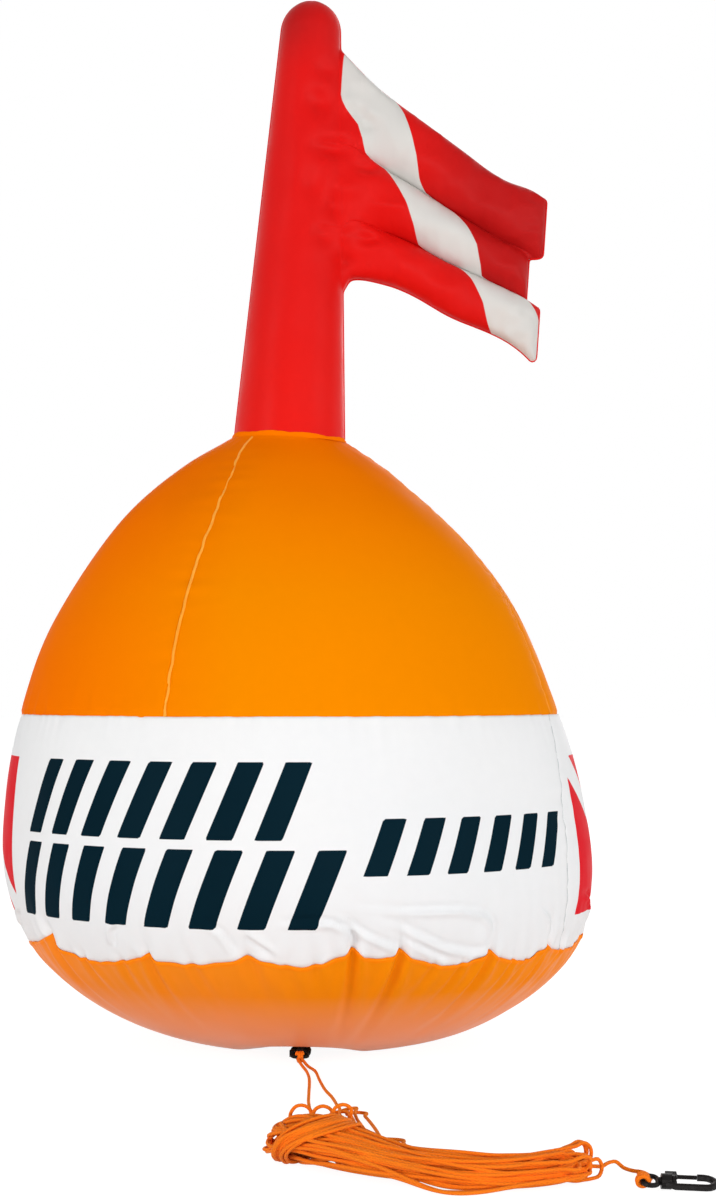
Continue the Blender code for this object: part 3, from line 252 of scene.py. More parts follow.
# Stations of the hank from left to right: place, half width and height
HANK_STATIONS = [
    (0.0040, -0.3520, 0.0160, 0.0180), (0.0140, -0.3600, 0.0205, 0.0224),
    (0.0323, -0.3760, 0.0190, 0.0192), (0.0549, -0.3940, 0.0160, 0.0150),
    (0.0766, -0.4060, 0.0145, 0.0145), (0.0960, -0.4080, 0.0140, 0.0130),
    (0.1197, -0.4010, 0.0140, 0.0140), (0.1375, -0.3900, 0.0130, 0.0150),
]
LOOSE_LOOPS = route(
    (0.0108, -0.2180), (0.0116, -0.2350), (0.0128, -0.2550), (0.0128, -0.2800), (0.0098, -0.3050),
    (0.0050, -0.3240, 0.0020), (0.0028, -0.3380, 0.0080), (0.0061, -0.3470, 0.0172),
    (0.0068, -0.3480, 0.0212), (0.0088, -0.3480, 0.0238), (0.0116, -0.3480, 0.0240),
    (0.0138, -0.3480, 0.0219), (0.0147, -0.3480, 0.0178), (0.0153, -0.3500, 0.0138),
    (0.0179, -0.3510, 0.0109), (0.0217, -0.3510, 0.0109), (0.0240, -0.3510, 0.0142),
    (0.0241, -0.3500, 0.0182), (0.0234, -0.3500, 0.0215), (0.0213, -0.3500, 0.0237),
    (0.0185, -0.3500, 0.0238), (0.0166, -0.3500, 0.0215), (0.0161, -0.3500, 0.0178),
    (0.0166, -0.3520, 0.0137), (0.0195, -0.3530, 0.0106), (0.0237, -0.3540, 0.0110),
    (0.0261, -0.3540, 0.0146), (0.0262, -0.3540, 0.0190), (0.0258, -0.3540, 0.0226),
    (0.0272, -0.3540, 0.0254), (0.0297, -0.3540, 0.0258), (0.0316, -0.3540, 0.0237),
    (0.0315, -0.3520, 0.0197), (0.0299, -0.3480, 0.0152), (0.0290, -0.3340, 0.0060),
    (0.0288, -0.3150, 0.0016), (0.0298, -0.2900), (0.0308, -0.2680), (0.0320, -0.2562),
    (0.0331, -0.2474), (0.0355, -0.2458), (0.0379, -0.2531), (0.0410, -0.2699), (0.0441, -0.2920),
    (0.0465, -0.3118), (0.0490, -0.3169), (0.0520, -0.3123), (0.0552, -0.3174), (0.0571, -0.3318),
    (0.0545, -0.3439), (0.0500, -0.3429), (0.0459, -0.3332), (0.0421, -0.3142), (0.0385, -0.2896),
    (0.0354, -0.2679), (0.0330, -0.2510), (0.0301, -0.2437), (0.0275, -0.2516), (0.0283, -0.2694),
    (0.0317, -0.2915), (0.0348, -0.3123), (0.0373, -0.3318), (0.0409, -0.3385), (0.0416, -0.3242),
    (0.0389, -0.3058), (0.0355, -0.2852), (0.0321, -0.2664), (0.0287, -0.2552), (0.0250, -0.2541),
    (0.0222, -0.2669), (0.0211, -0.2901), (0.0191, -0.3137), (0.0130, -0.3330),
)


def ease(value):
    """Smooth step of an array from 0 to 1."""
    share = np.clip(value, 0.0, 1.0)
    return share * share * (3.0 - 2.0 * share)


def bell(gap, width):
    """Smooth hump of an array, 1 at no gap and fading over a width."""
    return np.exp(-((gap / width) ** 2))


def hermite(t, span, a, b, slope_a, slope_b):
    """Points at shares of the cubic between two points a span apart, with their slopes."""
    return ((2 * t**3 - 3 * t**2 + 1) * a + (t**3 - 2 * t**2 + t) * span * slope_a
            + (3 * t**2 - 2 * t**3) * b + (t**3 - t**2) * span * slope_b)


def smooth_curve(points, samples, start_slope=None):
    """Smooth curve through points, sampled evenly between each pair."""
    knots = np.array(points, dtype=float)
    steps = np.linalg.norm(np.diff(knots, axis=0), axis=1)
    times = np.concatenate([[0.0], np.cumsum(steps)])
    slopes = np.zeros_like(knots)
    slopes[1:-1] = (knots[2:] - knots[:-2]) / (times[2:] - times[:-2])[:, None]
    slopes[0] = (knots[1] - knots[0]) / steps[0]
    slopes[-1] = (knots[-1] - knots[-2]) / steps[-1]
    if start_slope is not None:
        slopes[0] = start_slope
    t = (np.arange(samples) / samples)[:, None]
    out = [hermite(t, span, knots[k], knots[k + 1], slopes[k], slopes[k + 1])
           for k, span in enumerate(steps)]
    return np.concatenate([*out, knots[-1:]])


def walked(curve):
    """Distance along a curve at each of its points."""
    return np.concatenate([[0.0], np.cumsum(np.linalg.norm(np.diff(curve, axis=0), axis=1))])


def even_points(curve, spacing):
    """Points at an even spacing along a curve."""
    lengths = walked(curve)
    places = np.linspace(0.0, lengths[-1], max(int(lengths[-1] / spacing), 2) + 1)
    return np.stack([np.interp(places, lengths, curve[:, k]) for k in range(3)], axis=-1)


def smoothed(path, passes):
    """Rows of an array, each drawn towards its neighbours, with the two ends kept."""
    for _ in range(passes):
        inner = 0.25 * path[:-2] + 0.5 * path[1:-1] + 0.25 * path[2:]
        path = np.concatenate([path[:1], inner, path[-1:]])
    return path


OUTER_PROFILE = smooth_curve(PROFILE_POINTS, PROFILE_SAMPLES, start_slope=(1.0, 0.0))
PROFILE = np.concatenate([[(0.0, 0.0)], OUTER_PROFILE])
PROFILE_LENGTH = walked(PROFILE)


def radius_at(length):
    """Half width of the body at lengths along its profile, from the middle of the foot up."""
    return np.interp(length, PROFILE_LENGTH, PROFILE[:, 0])


def height_at(length):
    """Height of the body at lengths along its profile."""
    return np.interp(length, PROFILE_LENGTH, PROFILE[:, 1])


DOME = PROFILE[:, 1] > BAND_HEAD
FOOT_LENGTH = float(np.interp(BAND_FOOT, PROFILE[1:, 1], PROFILE_LENGTH[1:]))
HEAD_LENGTH = float(np.interp(BAND_HEAD, PROFILE[1:, 1], PROFILE_LENGTH[1:]))
CROWN_LENGTH = float(np.interp(-GORE_END_RADIUS, -PROFILE[DOME, 0], PROFILE_LENGTH[DOME]))
MAST_FOOT_HEIGHT = float(height_at(CROWN_LENGTH)) + MAST_FOOT_GAP


def lean_at(height):
    """How far the body's middle line lies to the right at a height."""
    return LEAN_AT_FLOOR + LEAN_SLOPE * height + LEAN_BOW * (height - LEAN_MIDDLE) ** 2


def skin(length, angle, stand=0.0):
    """Points on the body's outer face, or standing off it, from arrays of places."""
    step = 0.001
    out = radius_at(length + step) - radius_at(length - step)
    up = height_at(length + step) - height_at(length - step)
    run = np.hypot(out, up)
    radius = radius_at(length) + stand * up / run
    height = height_at(length) - stand * out / run
    shift = CROWN_SHIFT * ease((height - SHIFT_START) / (SHIFT_END - SHIFT_START))
    x = lean_at(height) + shift + radius * np.sin(angle)
    y = -radius * np.cos(angle)
    turned = ease((height - TILT_START) / (TILT_END - TILT_START))
    z = height - math.tan(MAST_LEAN) * turned * radius * np.sin(angle)
    reach = np.hypot(x - HOLLOW_PLACE[0], y - HOLLOW_PLACE[1]) / HOLLOW_RADIUS
    hollow = HOLLOW_DEPTH * np.clip(1.0 - reach**2, 0.0, 1.0) ** 2
    z = z + np.where(height < HOLLOW_CEILING, hollow, 0.0)
    return np.stack([x, y, np.maximum(z, 0.0)], axis=-1)


def grid_faces(index):
    """Faces between the rows and columns of an array of point numbers."""
    quads = np.stack([index[:-1, :-1], index[:-1, 1:], index[1:, 1:], index[1:, :-1]], axis=-1)
    return quads.reshape(-1, 4)


def sheet_object(name, points, attributes=None, wrap=False):
    """Mesh object over an array of rows and columns of points, closed round its rows or not."""
    index = np.arange(points.shape[0] * points.shape[1]).reshape(points.shape[:2])
    if wrap:
        index = np.concatenate([index, index[:, :1]], axis=1)
    return mesh_object(name, points.reshape(-1, 3), grid_faces(index).tolist(), attributes)


def mesh_object(name, points, faces, attributes=None):
    """Smooth mesh object from an array of points and a list of faces, with values for its points."""
    mesh = bpy.data.meshes.new(name)
    mesh.from_pydata(points.tolist(), [], faces)
    mesh.shade_smooth()
    item = bpy.data.objects.new(name, mesh)
    bpy.context.scene.collection.objects.link(item)
    for key, values in (attributes or {}).items():
        set_values(item, key, values)
    return item


def set_values(item, key, values):
    """Stores one value for each point of a mesh, or the same one for all."""
    layer = item.data.attributes.new(key, "FLOAT", "POINT")
    spread = np.broadcast_to(np.ravel(values), len(item.data.vertices))
    layer.data.foreach_set("value", np.array(spread, np.float32))


def dress(item, material, body, slot, *nodes):
    """Gives a piece its material and its body, and hides the nodes that it stands for. The slot is not used.
    """
    item.data.materials.clear()
    item.data.materials.append(material)
    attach(item, body)
    if nodes:
        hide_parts(*nodes)


def thicken(item, thickness):
    """Gives a sheet its thickness, on its inner side."""
    shell = item.modifiers.new("sheet", "SOLIDIFY")
    shell.thickness = thickness
    shell.offset = -1.0


def turn_gap(angle, middle):
    """Signed angle from a middle, the short way round."""
    return (angle - middle + math.pi) % (2.0 * math.pi) - math.pi


def ripples(u, v, seed, count=7):
    """Soft uneven waves of two coordinates, about -1 to 1, with a wave length near 1."""
    draw = np.random.default_rng(seed)
    total = np.zeros(np.broadcast(u, v).shape)
    for _ in range(count):
        heading = draw.uniform(0.0, 2.0 * math.pi)
        pace = 2.0 * math.pi * draw.uniform(0.6, 1.6)
        phase = draw.uniform(0.0, 2.0 * math.pi)
        total = total + np.sin(pace * (u * math.cos(heading) + v * math.sin(heading)) + phase)
    return total / math.sqrt(count)


def stroke_gap(u, v, points):
    """Signed distance from a line of points, and the share along it."""
    best = np.full(u.shape, np.inf)
    side = np.zeros(u.shape)
    share = np.zeros(u.shape)
    line = np.array(points, dtype=float)
    lengths = walked(line)
    for k, (a, b) in enumerate(zip(line[:-1], line[1:])):
        run = b - a
        t = np.clip(((u - a[0]) * run[0] + (v - a[1]) * run[1]) / (run @ run), 0.0, 1.0)
        du = u - (a[0] + t * run[0])
        dv = v - (a[1] + t * run[1])
        gap = np.hypot(du, dv)
        nearer = gap < best
        best = np.where(nearer, gap, best)
        side = np.where(nearer, np.sign(run[0] * dv - run[1] * du), side)
        share = np.where(nearer, (lengths[k] + t * (lengths[k + 1] - lengths[k])) / lengths[-1], share)
    return best * side, share


# Gathered seam: angle in degrees, rise, and for a peak its fold's depth, width and reach down
SEAM_PLACES = [
    (-84.0, -0.0012), (-71.0, 0.0030), (-55.8, 0.0118, 0.0026, 0.0046, 0.034), (-53.2, 0.0032),
    (-42.4, -0.0024), (-28.9, 0.0062, 0.0022, 0.0036, 0.030), (-26.3, 0.0020), (-17.2, 0.0018),
    (-8.8, 0.0080, 0.0015, 0.0060, 0.024), (0.7, 0.0006), (10.7, 0.0108, 0.0034, 0.0036, 0.046),
    (14.9, 0.0052), (19.8, 0.0098, 0.0034, 0.0038, 0.046), (23.4, 0.0038), (30.6, -0.0010),
    (39.4, 0.0072, 0.0028, 0.0036, 0.036), (43.0, 0.0010), (51.5, -0.0028),
    (58.0, 0.0062, 0.0024, 0.0034, 0.036), (61.0, 0.0008), (72.2, -0.0024),
    (86.0, 0.0064, 0.0028, 0.0042, 0.040), (89.5, 0.0016), (98.0, -0.0018),
    (109.0, 0.0052, 0.0024, 0.0044, 0.032), (116.0, -0.0014), (124.0, 0.0084, 0.0030, 0.0040, 0.044),
    (127.0, 0.0034), (137.0, -0.0022), (147.0, 0.0050, 0.0024, 0.0046, 0.034), (153.0, 0.0004),
    (160.0, 0.0078, 0.0030, 0.0040, 0.042), (164.0, 0.0016), (174.0, -0.0020),
    (185.0, 0.0062, 0.0026, 0.0044, 0.036), (191.0, -0.0006), (199.0, 0.0040, 0.0022, 0.0046, 0.030),
    (204.0, 0.0002), (211.0, 0.0090, 0.0032, 0.0040, 0.045), (214.0, 0.0036), (225.0, -0.0022),
    (236.0, 0.0060, 0.0026, 0.0042, 0.036), (241.0, -0.0008), (250.0, 0.0048, 0.0022, 0.0046, 0.032),
    (256.0, -0.0010), (264.0, 0.0070, 0.0028, 0.0042, 0.040), (267.0, 0.0020), (276.0, -0.0012),
]
# Small folds between them: angle in degrees, depth, width and reach down
SMALL_FOLDS = [
    (-66.0, 0.0010, 0.0034, 0.024), (-47.0, 0.0011, 0.0034, 0.022), (-36.0, 0.0009, 0.0034, 0.018),
    (-20.0, 0.0008, 0.0036, 0.018), (-2.0, 0.0008, 0.0034, 0.018), (3.5, 0.0007, 0.0030, 0.016),
    (27.0, 0.0012, 0.0030, 0.030), (33.0, 0.0013, 0.0028, 0.028), (46.5, 0.0014, 0.0028, 0.032),
    (51.0, 0.0010, 0.0028, 0.026), (66.0, 0.0013, 0.0032, 0.028), (76.0, 0.0014, 0.0034, 0.026),
    (103.0, 0.0012, 0.0034, 0.024), (133.0, 0.0013, 0.0034, 0.026), (142.0, 0.0010, 0.0034, 0.022),
    (171.0, 0.0012, 0.0034, 0.024), (180.0, 0.0010, 0.0034, 0.022), (220.0, 0.0013, 0.0034, 0.026),
    (231.0, 0.0011, 0.0034, 0.024), (245.0, 0.0010, 0.0034, 0.022), (271.0, 0.0012, 0.0036, 0.022),
]
# Share of a fold's reach that runs up from the seam, and how far the folds lean to the middle
FOLDS_UP = 0.30
FOLD_LEAN = 0.0090

# Creases of the white band: points as angle in degrees and height, depth and width
CREASE_DEPTH = 1.45
CREASE_WIDTH = 0.62
BAND_CREASES = [
    ([(10.8, 0.0715), (10.4, 0.0776), (9.5, 0.0824), (7.1, 0.0858),
      (2.3, 0.0860), (-4.0, 0.0850)], 0.0015, 0.0030),
    ([(19.6, 0.0705), (16.1, 0.0750), (12.6, 0.0796), (9.2, 0.0878), (5.0, 0.0930)], 0.0013, 0.0030),
    ([(39.1, 0.0690), (38.6, 0.0820), (36.2, 0.0880), (31.0, 0.0910),
      (19.6, 0.0916), (9.3, 0.0948)], 0.0014, 0.0032),
    ([(39.0, 0.0685), (34.4, 0.0670), (27.4, 0.0718), (19.2, 0.0838), (12.8, 0.0898)], 0.0012, 0.0034),
    ([(30.0, 0.0620), (24.0, 0.0700), (18.0, 0.0790)], 0.0009, 0.0028),
    ([(-8.8, 0.0800), (-4.9, 0.0712), (-2.4, 0.0652)], 0.0010, 0.0028),
    ([(-11.0, 0.0690), (-13.0, 0.0800), (-17.0, 0.0880)], 0.0010, 0.0032),
    ([(-37.0, 0.0690), (-36.0, 0.0780), (-33.0, 0.0850)], 0.0012, 0.0030),
    ([(58.0, 0.0690), (56.5, 0.0800), (51.0, 0.0900)], 0.0012, 0.0030),
    ([(86.0, 0.0690), (84.0, 0.0800), (78.0, 0.0880), (70.0, 0.0900)], 0.0013, 0.0032),
    ([(124.0, 0.0700), (122.0, 0.0820), (116.0, 0.0890), (106.0, 0.0905)], 0.0014, 0.0032),
    ([(160.0, 0.0700), (158.0, 0.0810), (152.0, 0.0870), (144.0, 0.0880)], 0.0013, 0.0032),
    ([(185.0, 0.0690), (187.0, 0.0800), (192.0, 0.0860)], 0.0012, 0.0030),
    ([(211.0, 0.0700), (209.0, 0.0830), (203.0, 0.0900), (194.0, 0.0915)], 0.0014, 0.0032),
    ([(250.0, 0.0690), (248.0, 0.0790), (243.0, 0.0850)], 0.0012, 0.0030),
    ([(264.0, 0.0700), (266.0, 0.0810), (272.0, 0.0870)], 0.0013, 0.0032),
    ([(-75.0, 0.0700), (-73.0, 0.0790), (-68.0, 0.0850)], 0.0012, 0.0030),
]


def foot_seam(angle):
    """Length of the profile at the gathered seam, which rises to a cusp at each peak."""
    first = SEAM_PLACES[0][0]
    degrees = np.mod(np.degrees(angle) - first, 360.0) + first
    places = np.array([row[0] for row in SEAM_PLACES] + [first + 360.0])
    rises = np.array([row[1] for row in SEAM_PLACES] + [SEAM_PLACES[0][1]])
    k = np.clip(np.searchsorted(places, degrees, side="right") - 1, 0, len(places) - 2)
    share = (degrees - places[k]) / (places[k + 1] - places[k])
    climbs = rises[k + 1] > rises[k]
    toward_peak = np.where(climbs, share, 1.0 - share)
    curved = 0.35 * toward_peak + 0.65 * toward_peak**2.4
    low = np.minimum(rises[k], rises[k + 1])
    high = np.maximum(rises[k], rises[k + 1])
    return FOOT_LENGTH + low + (high - low) * curved + 0.0003 * ripples(angle * 9.0, 0.0 * angle, 5)


def gathers(rise, angle):
    """Relief of the folds that run out of the gathered seam."""
    relief = np.zeros(np.broadcast(rise, angle).shape)
    folds = [(row[0], *row[2:]) for row in SEAM_PLACES if len(row) > 2]
    for degrees, depth, width, down in folds + SMALL_FOLDS:
        x = turn_gap(angle, math.radians(degrees)) * SEAM_RADIUS
        reach = np.where(rise < 0.0, down, FOLDS_UP * down)
        far = np.abs(rise) / reach
        wide = width * (0.70 + 0.55 * np.minimum(far, 1.5))
        lean = FOLD_LEAN * np.clip(2.5 * math.sin(math.radians(degrees)), -0.2, 1.0)
        x = x + far * (0.0015 * math.sin(degrees) + np.where(rise < 0.0, lean, 0.0))
        shoulder = bell(x - 1.5 * wide, wide) + bell(x + 1.5 * wide, wide)
        relief = relief + depth * np.exp(-far**1.5) * (0.6 * shoulder - bell(x, wide))
    fine = ripples(angle * 22.0, rise * 25.0, 11)
    return relief + 0.0004 * fine * np.exp(-np.abs(rise) / 0.018)


def band_sway(length, angle):
    """How far the closing welds of the band stray from an upright line, with the film beside them."""
    share = (length - FOOT_LENGTH) / (HEAD_LENGTH - FOOT_LENGTH)
    gap = np.minimum(*(np.abs(turn_gap(angle, seam)) for seam in BAND_SEAMS))
    return np.interp(share, BAND_SWAY_SHARES, BAND_SWAYS) * bell(gap, BAND_SWAY_REACH)


def gore_sway(length, angle):
    """How far the welds of the gores stray from an upright line, with the film beside them."""
    share = np.clip((length - HEAD_LENGTH) / (CROWN_LENGTH - HEAD_LENGTH), 0.0, 1.0)
    total = 0.0
    for seam, sways in zip(GORE_SEAMS, GORE_SWAYS):
        path = np.interp(share, GORE_SWAY_SHARES, sways)
        total = total + path * bell(turn_gap(angle, seam), GORE_SWAY_REACH)
    return total


def seam_pinch(length, angle, seams, sway, width=0.0045):
    """Slight hollow and puckers beside the upright seams."""
    relief = np.zeros(np.broadcast(length, angle).shape)
    for k, seam in enumerate(seams):
        x = turn_gap(angle - sway(length, seam), seam) * radius_at(length)
        puckers = ripples(length * 95.0, x * 18.0, 21 + k)
        relief = relief - 0.0006 * np.exp(-np.abs(x) / width)
        relief = relief + 0.0003 * puckers * bell(x, 3.2 * width)
    return relief


def band_creases(length, angle):
    """Relief of the creases in the foot of the band."""
    height = height_at(length)
    relief = np.zeros(np.broadcast(length, angle).shape)
    for points, depth, width in BAND_CREASES:
        middle = math.radians(points[0][0])
        beside = turn_gap(angle, middle)
        near = (np.abs(beside) < 0.6) & (height < 0.12) & (length > FOOT_LENGTH - 0.01)
        if not near.any():
            continue
        line = [(math.radians(a) * MEAN_RADIUS, h) for a, h in points]
        gap, share = stroke_gap(np.where(near, (beside + middle) * MEAN_RADIUS, 9.0), height, line)
        fade = ease(share / 0.15) * ease((1.0 - share) / 0.5)
        wide = CREASE_WIDTH * width
        ridge = bell(gap - 0.6 * wide, wide) - bell(gap + 0.6 * wide, wide)
        relief = relief + np.where(near, CREASE_DEPTH * depth * fade * ridge, 0.0)
    return relief


def body_relief(length, angle):
    """Fine relief of the body's sheets beside its plain round shape."""
    rise = length - foot_seam(angle)
    head = length - HEAD_LENGTH
    relief = 0.0005 * ripples(angle * MEAN_RADIUS * 9.0, length * 9.0, 3)
    relief = relief + np.where(head > 0.0, seam_pinch(length, angle, GORE_SEAMS, gore_sway), 0.0)
    on_band = ease(rise / 0.004) * ease(-head / 0.004)
    relief = relief + on_band * seam_pinch(length, angle, BAND_SEAMS, band_sway)
    relief = relief + gathers(rise, angle)
    relief = relief - 0.0006 * np.exp(-np.abs(head) / 0.004)
    relief = relief + 0.0003 * ripples(angle * 14.0, head * 30.0, 31) * np.exp(-np.abs(head) / 0.012)
    crown = (CROWN_LENGTH - length) / 0.010
    relief = relief + 0.0005 * ripples(angle * 5.0, crown * 0.4, 41) * np.exp(-np.clip(crown, 0.0, 9.0))
    relief = relief + band_creases(length, angle)
    return relief * ease(radius_at(length) / 0.06 - 0.4) * ease((height_at(length) + 0.004) / 0.034)


def box_ink(u, v, low, high):
    """Signed distance inside a rectangle, positive where ink lies."""
    return np.minimum(np.minimum(u - low[0], high[0] - u), np.minimum(v - low[1], high[1] - v))


def bar_row(u, v, start, end, low, high, count):
    """Signed distance inside a row of slanted bars."""
    pitch = (end - start) / count
    across = u - start - BAR_SLANT * (v - low)
    within = np.mod(across, pitch) - 0.5 * pitch
    bar = (0.5 * BAR_SHARE * pitch - np.abs(within)) / math.hypot(1.0, BAR_SLANT)
    inside = np.minimum(across, (end - start) - across)
    return np.minimum(np.minimum(bar, inside), np.minimum(v - low, high - v))


# Mast and flag sheets

def mast_radius(along):
    """Half width of the mast at distances above its foot."""
    along = np.asarray(along, dtype=float)
    straight = MAST_FOOT_RADIUS + along / MAST_ROUND_START * (MAST_HEAD_RADIUS - MAST_FOOT_RADIUS)
    over = np.clip((along - MAST_ROUND_START) / MAST_HEAD_RADIUS, 0.0, 1.0)
    return np.where(along <= MAST_ROUND_START, straight, MAST_HEAD_RADIUS * np.sqrt(1.0 - over**2))


def trimmed(across, radius):
    """Place across the mast, whose left side lies in a little."""
    full = np.maximum(radius, MAST_HEAD_RADIUS)
    return across + 0.5 * LEFT_TRIM * (1.0 - across / full)


def flag_edge(start_height, points):
    """Points of an edge of the flag from the mast to the fly, and the share along it at each."""
    start = (float(mast_radius(start_height)), start_height)
    curve = smooth_curve([start, *points], 12)
    lengths = walked(curve)
    return curve, lengths / lengths[-1]


def flag_creases(reach):
    """Shares down the flag of its top edge, two welds and lower edge, at shares of the way to the fly."""
    upper, lower = (hoist + reach * (fly - hoist) for hoist, fly in zip(CREASES_AT_HOIST, CREASES_AT_FLY))
    return [np.zeros_like(reach), upper, lower, np.ones_like(reach)]


def flag_down(lobes, reach):
    """Share down the flag for a count of lobes from its top edge, 0 to 3."""
    lobe = np.minimum(np.floor(lobes), 2.0).astype(int)
    across = 0.5 * (1.0 - np.cos(math.pi * (lobes - lobe)))
    creases = np.stack(flag_creases(reach))
    low = np.choose(lobe, creases[:3])
    high = np.choose(lobe, creases[1:])
    return low + across * (high - low)


def flag_depth(lobes, reach, sizes):
    """Half depth of the blown-up flag."""
    lobe = np.minimum(np.floor(lobes), 2.0)
    share = lobes - lobe
    full = sizes.flag_depth_hoist + reach * (sizes.flag_depth_fly - sizes.flag_depth_hoist)
    low = np.where(lobe == 0.0, 0.0, FLAG_WELD_HALF_DEPTH)
    high = np.where(lobe == 2.0, 0.0, FLAG_WELD_HALF_DEPTH)
    floor = low + share * (high - low)
    blunt = np.where(lobe == 0.0, 0.75 + 0.6 * share, np.where(lobe == 2.0, 1.35 - 0.6 * share, 1.35))
    lobed = floor + (full - floor) * np.maximum(np.sin(math.pi * share), 0.0) ** blunt
    hoist = full * np.sqrt(np.maximum(np.sin(math.pi * lobes / 3.0), 0.0))
    return hoist + (lobed - hoist) * ease((reach - 0.03) / 0.30)


def dents(x, z):
    """How far the film of the mast and flag lies in at arrays of places."""
    total = 0.0008 * ripples(z * 34.0, x * 30.0, 91) * bell(z - 0.162, 0.075) * bell(x - 0.022, 0.028)
    for across, along, depth, wide, high in DENTS:
        total = total + depth * bell(x - across, wide) * bell(z - along, high)
    return total


def fly_trim(lobes, reach):
    """Shortening of the fly: the middle lobe ends first, with a nick at each weld."""
    short = ease((lobes - 0.97) / 0.10) * ease((2.16 - lobes) / 0.22)
    nick = 0.0035 * bell(lobes - 0.96, 0.05)
    corner = 0.0030 * ease((lobes - 2.80) / 0.20) ** 2 + 0.0022 * ease((0.16 - lobes) / 0.16) ** 2
    return (0.0084 * short + nick) * reach**8 + corner * reach**12


def flag_sheet(sizes):
    """Points of the flag in the mast's frame, its half depth and its stripe, by lobe and reach."""
    lobes = np.linspace(3.0, 0.0, 3 * sizes.lobe_rows + 1)[:, None]
    reach = np.linspace(0.0, 1.0, sizes.flag_columns + 1)[None, :] ** 0.9
    lobes, reach = np.broadcast_arrays(lobes, reach)
    down = flag_down(lobes, reach)
    top, top_share = flag_edge(HOIST_HEAD, FLAG_TOP_EDGE)
    low, low_share = flag_edge(HOIST_FOOT, FLAG_LOWER_EDGE)
    x_top, z_top = (np.interp(reach, top_share, top[:, k]) for k in (0, 1))
    x_low, z_low = (np.interp(reach, low_share, low[:, k]) for k in (0, 1))
    x = x_top + down * (x_low - x_top)
    z = z_top + down * (z_low - z_top)
    hoist = mast_radius(z[:, :1])
    x = x + (hoist - x[:, :1]) * (1.0 - ease(reach / 0.2))
    x = x - fly_trim(lobes, reach) + FLY_LENGTHENS * ease((reach - 0.7) / 0.3)
    depth = flag_depth(lobes, reach, sizes)
    over = np.clip((reach - FLY_CLOSES) / (1.0 - FLY_CLOSES), 0.0, 1.0)
    depth = depth * np.sqrt(1.0 - over**2)
    left = np.interp(lobes, *np.transpose(STRIPE_LEFT))
    right = np.interp(lobes, *np.transpose(STRIPE_RIGHT))
    stripe = np.minimum(reach - left, right - reach) * 0.12
    return x, z, depth, stripe, lobes, reach


def flag_wrinkles(x, z, lobes, reach):
    """Puckers beside the welds and the outer edge of the flag."""
    relief = 0.0006 * ripples(x * 40.0, z * 40.0, 51) * ease(reach / 0.1)
    for weld in range(4):
        gap = np.abs(lobes - weld)
        pucker = ripples(x * 110.0 + weld * 5.0, z * 45.0, 61 + weld)
        beside = np.exp(-gap / 0.16) * np.minimum(gap / 0.05, 1.0)
        relief = relief + 0.0013 * pucker * beside * ease(reach / 0.2)
    fly = ripples(z * 90.0, x * 50.0, 81)
    return relief + 0.0010 * fly * np.exp(-(1.0 - reach) / 0.07) * np.minimum((1.0 - reach) / 0.03, 1.0)


def mast_sheet(sizes, beside, hoist_depth):
    """Places across and along half the mast, its half width and depth there, and the rows beside the flag."""
    below = np.linspace(-MAST_FOOT_GAP, HOIST_FOOT, sizes.mast_rows_below + 1)[:-1]
    above = np.linspace(HOIST_HEAD, MAST_ROUND_START, 8)[1:]
    cap = MAST_ROUND_START + MAST_HEAD_RADIUS * np.sin(np.linspace(0.0, 0.5 * math.pi, 14))[1:]
    heights = np.concatenate([below, beside, above, cap])
    turn = np.linspace(-0.5 * math.pi, 0.5 * math.pi, sizes.mast_columns + 1)
    turn, along = np.broadcast_arrays(turn[None, :], heights[:, None])
    radius = mast_radius(along)
    across = radius * np.sin(turn)
    share = np.clip(along / MAST_LENGTH, 0.0, 1.0)
    own = radius * np.cos(turn) * (1.0 + share * (MAST_DEPTH_AT_HEAD - 1.0))
    flag_rows = slice(len(below), len(below) + len(beside))
    lobe = np.zeros_like(across)
    lobe[flag_rows] = np.where(across[flag_rows] > 0.0, hoist_depth, 0.0)
    fade = ease(across / np.maximum(radius, 1e-6) / 0.7)
    depth = (own**4 + (lobe * fade) ** 4) ** 0.25
    depth = depth + 0.0004 * np.cos(turn) * ripples(along * 14.0, turn, 92)
    depth = depth - dents(across, along) * np.clip(depth / 0.012, 0.0, 1.0)
    return across, along, radius, depth, flag_rows


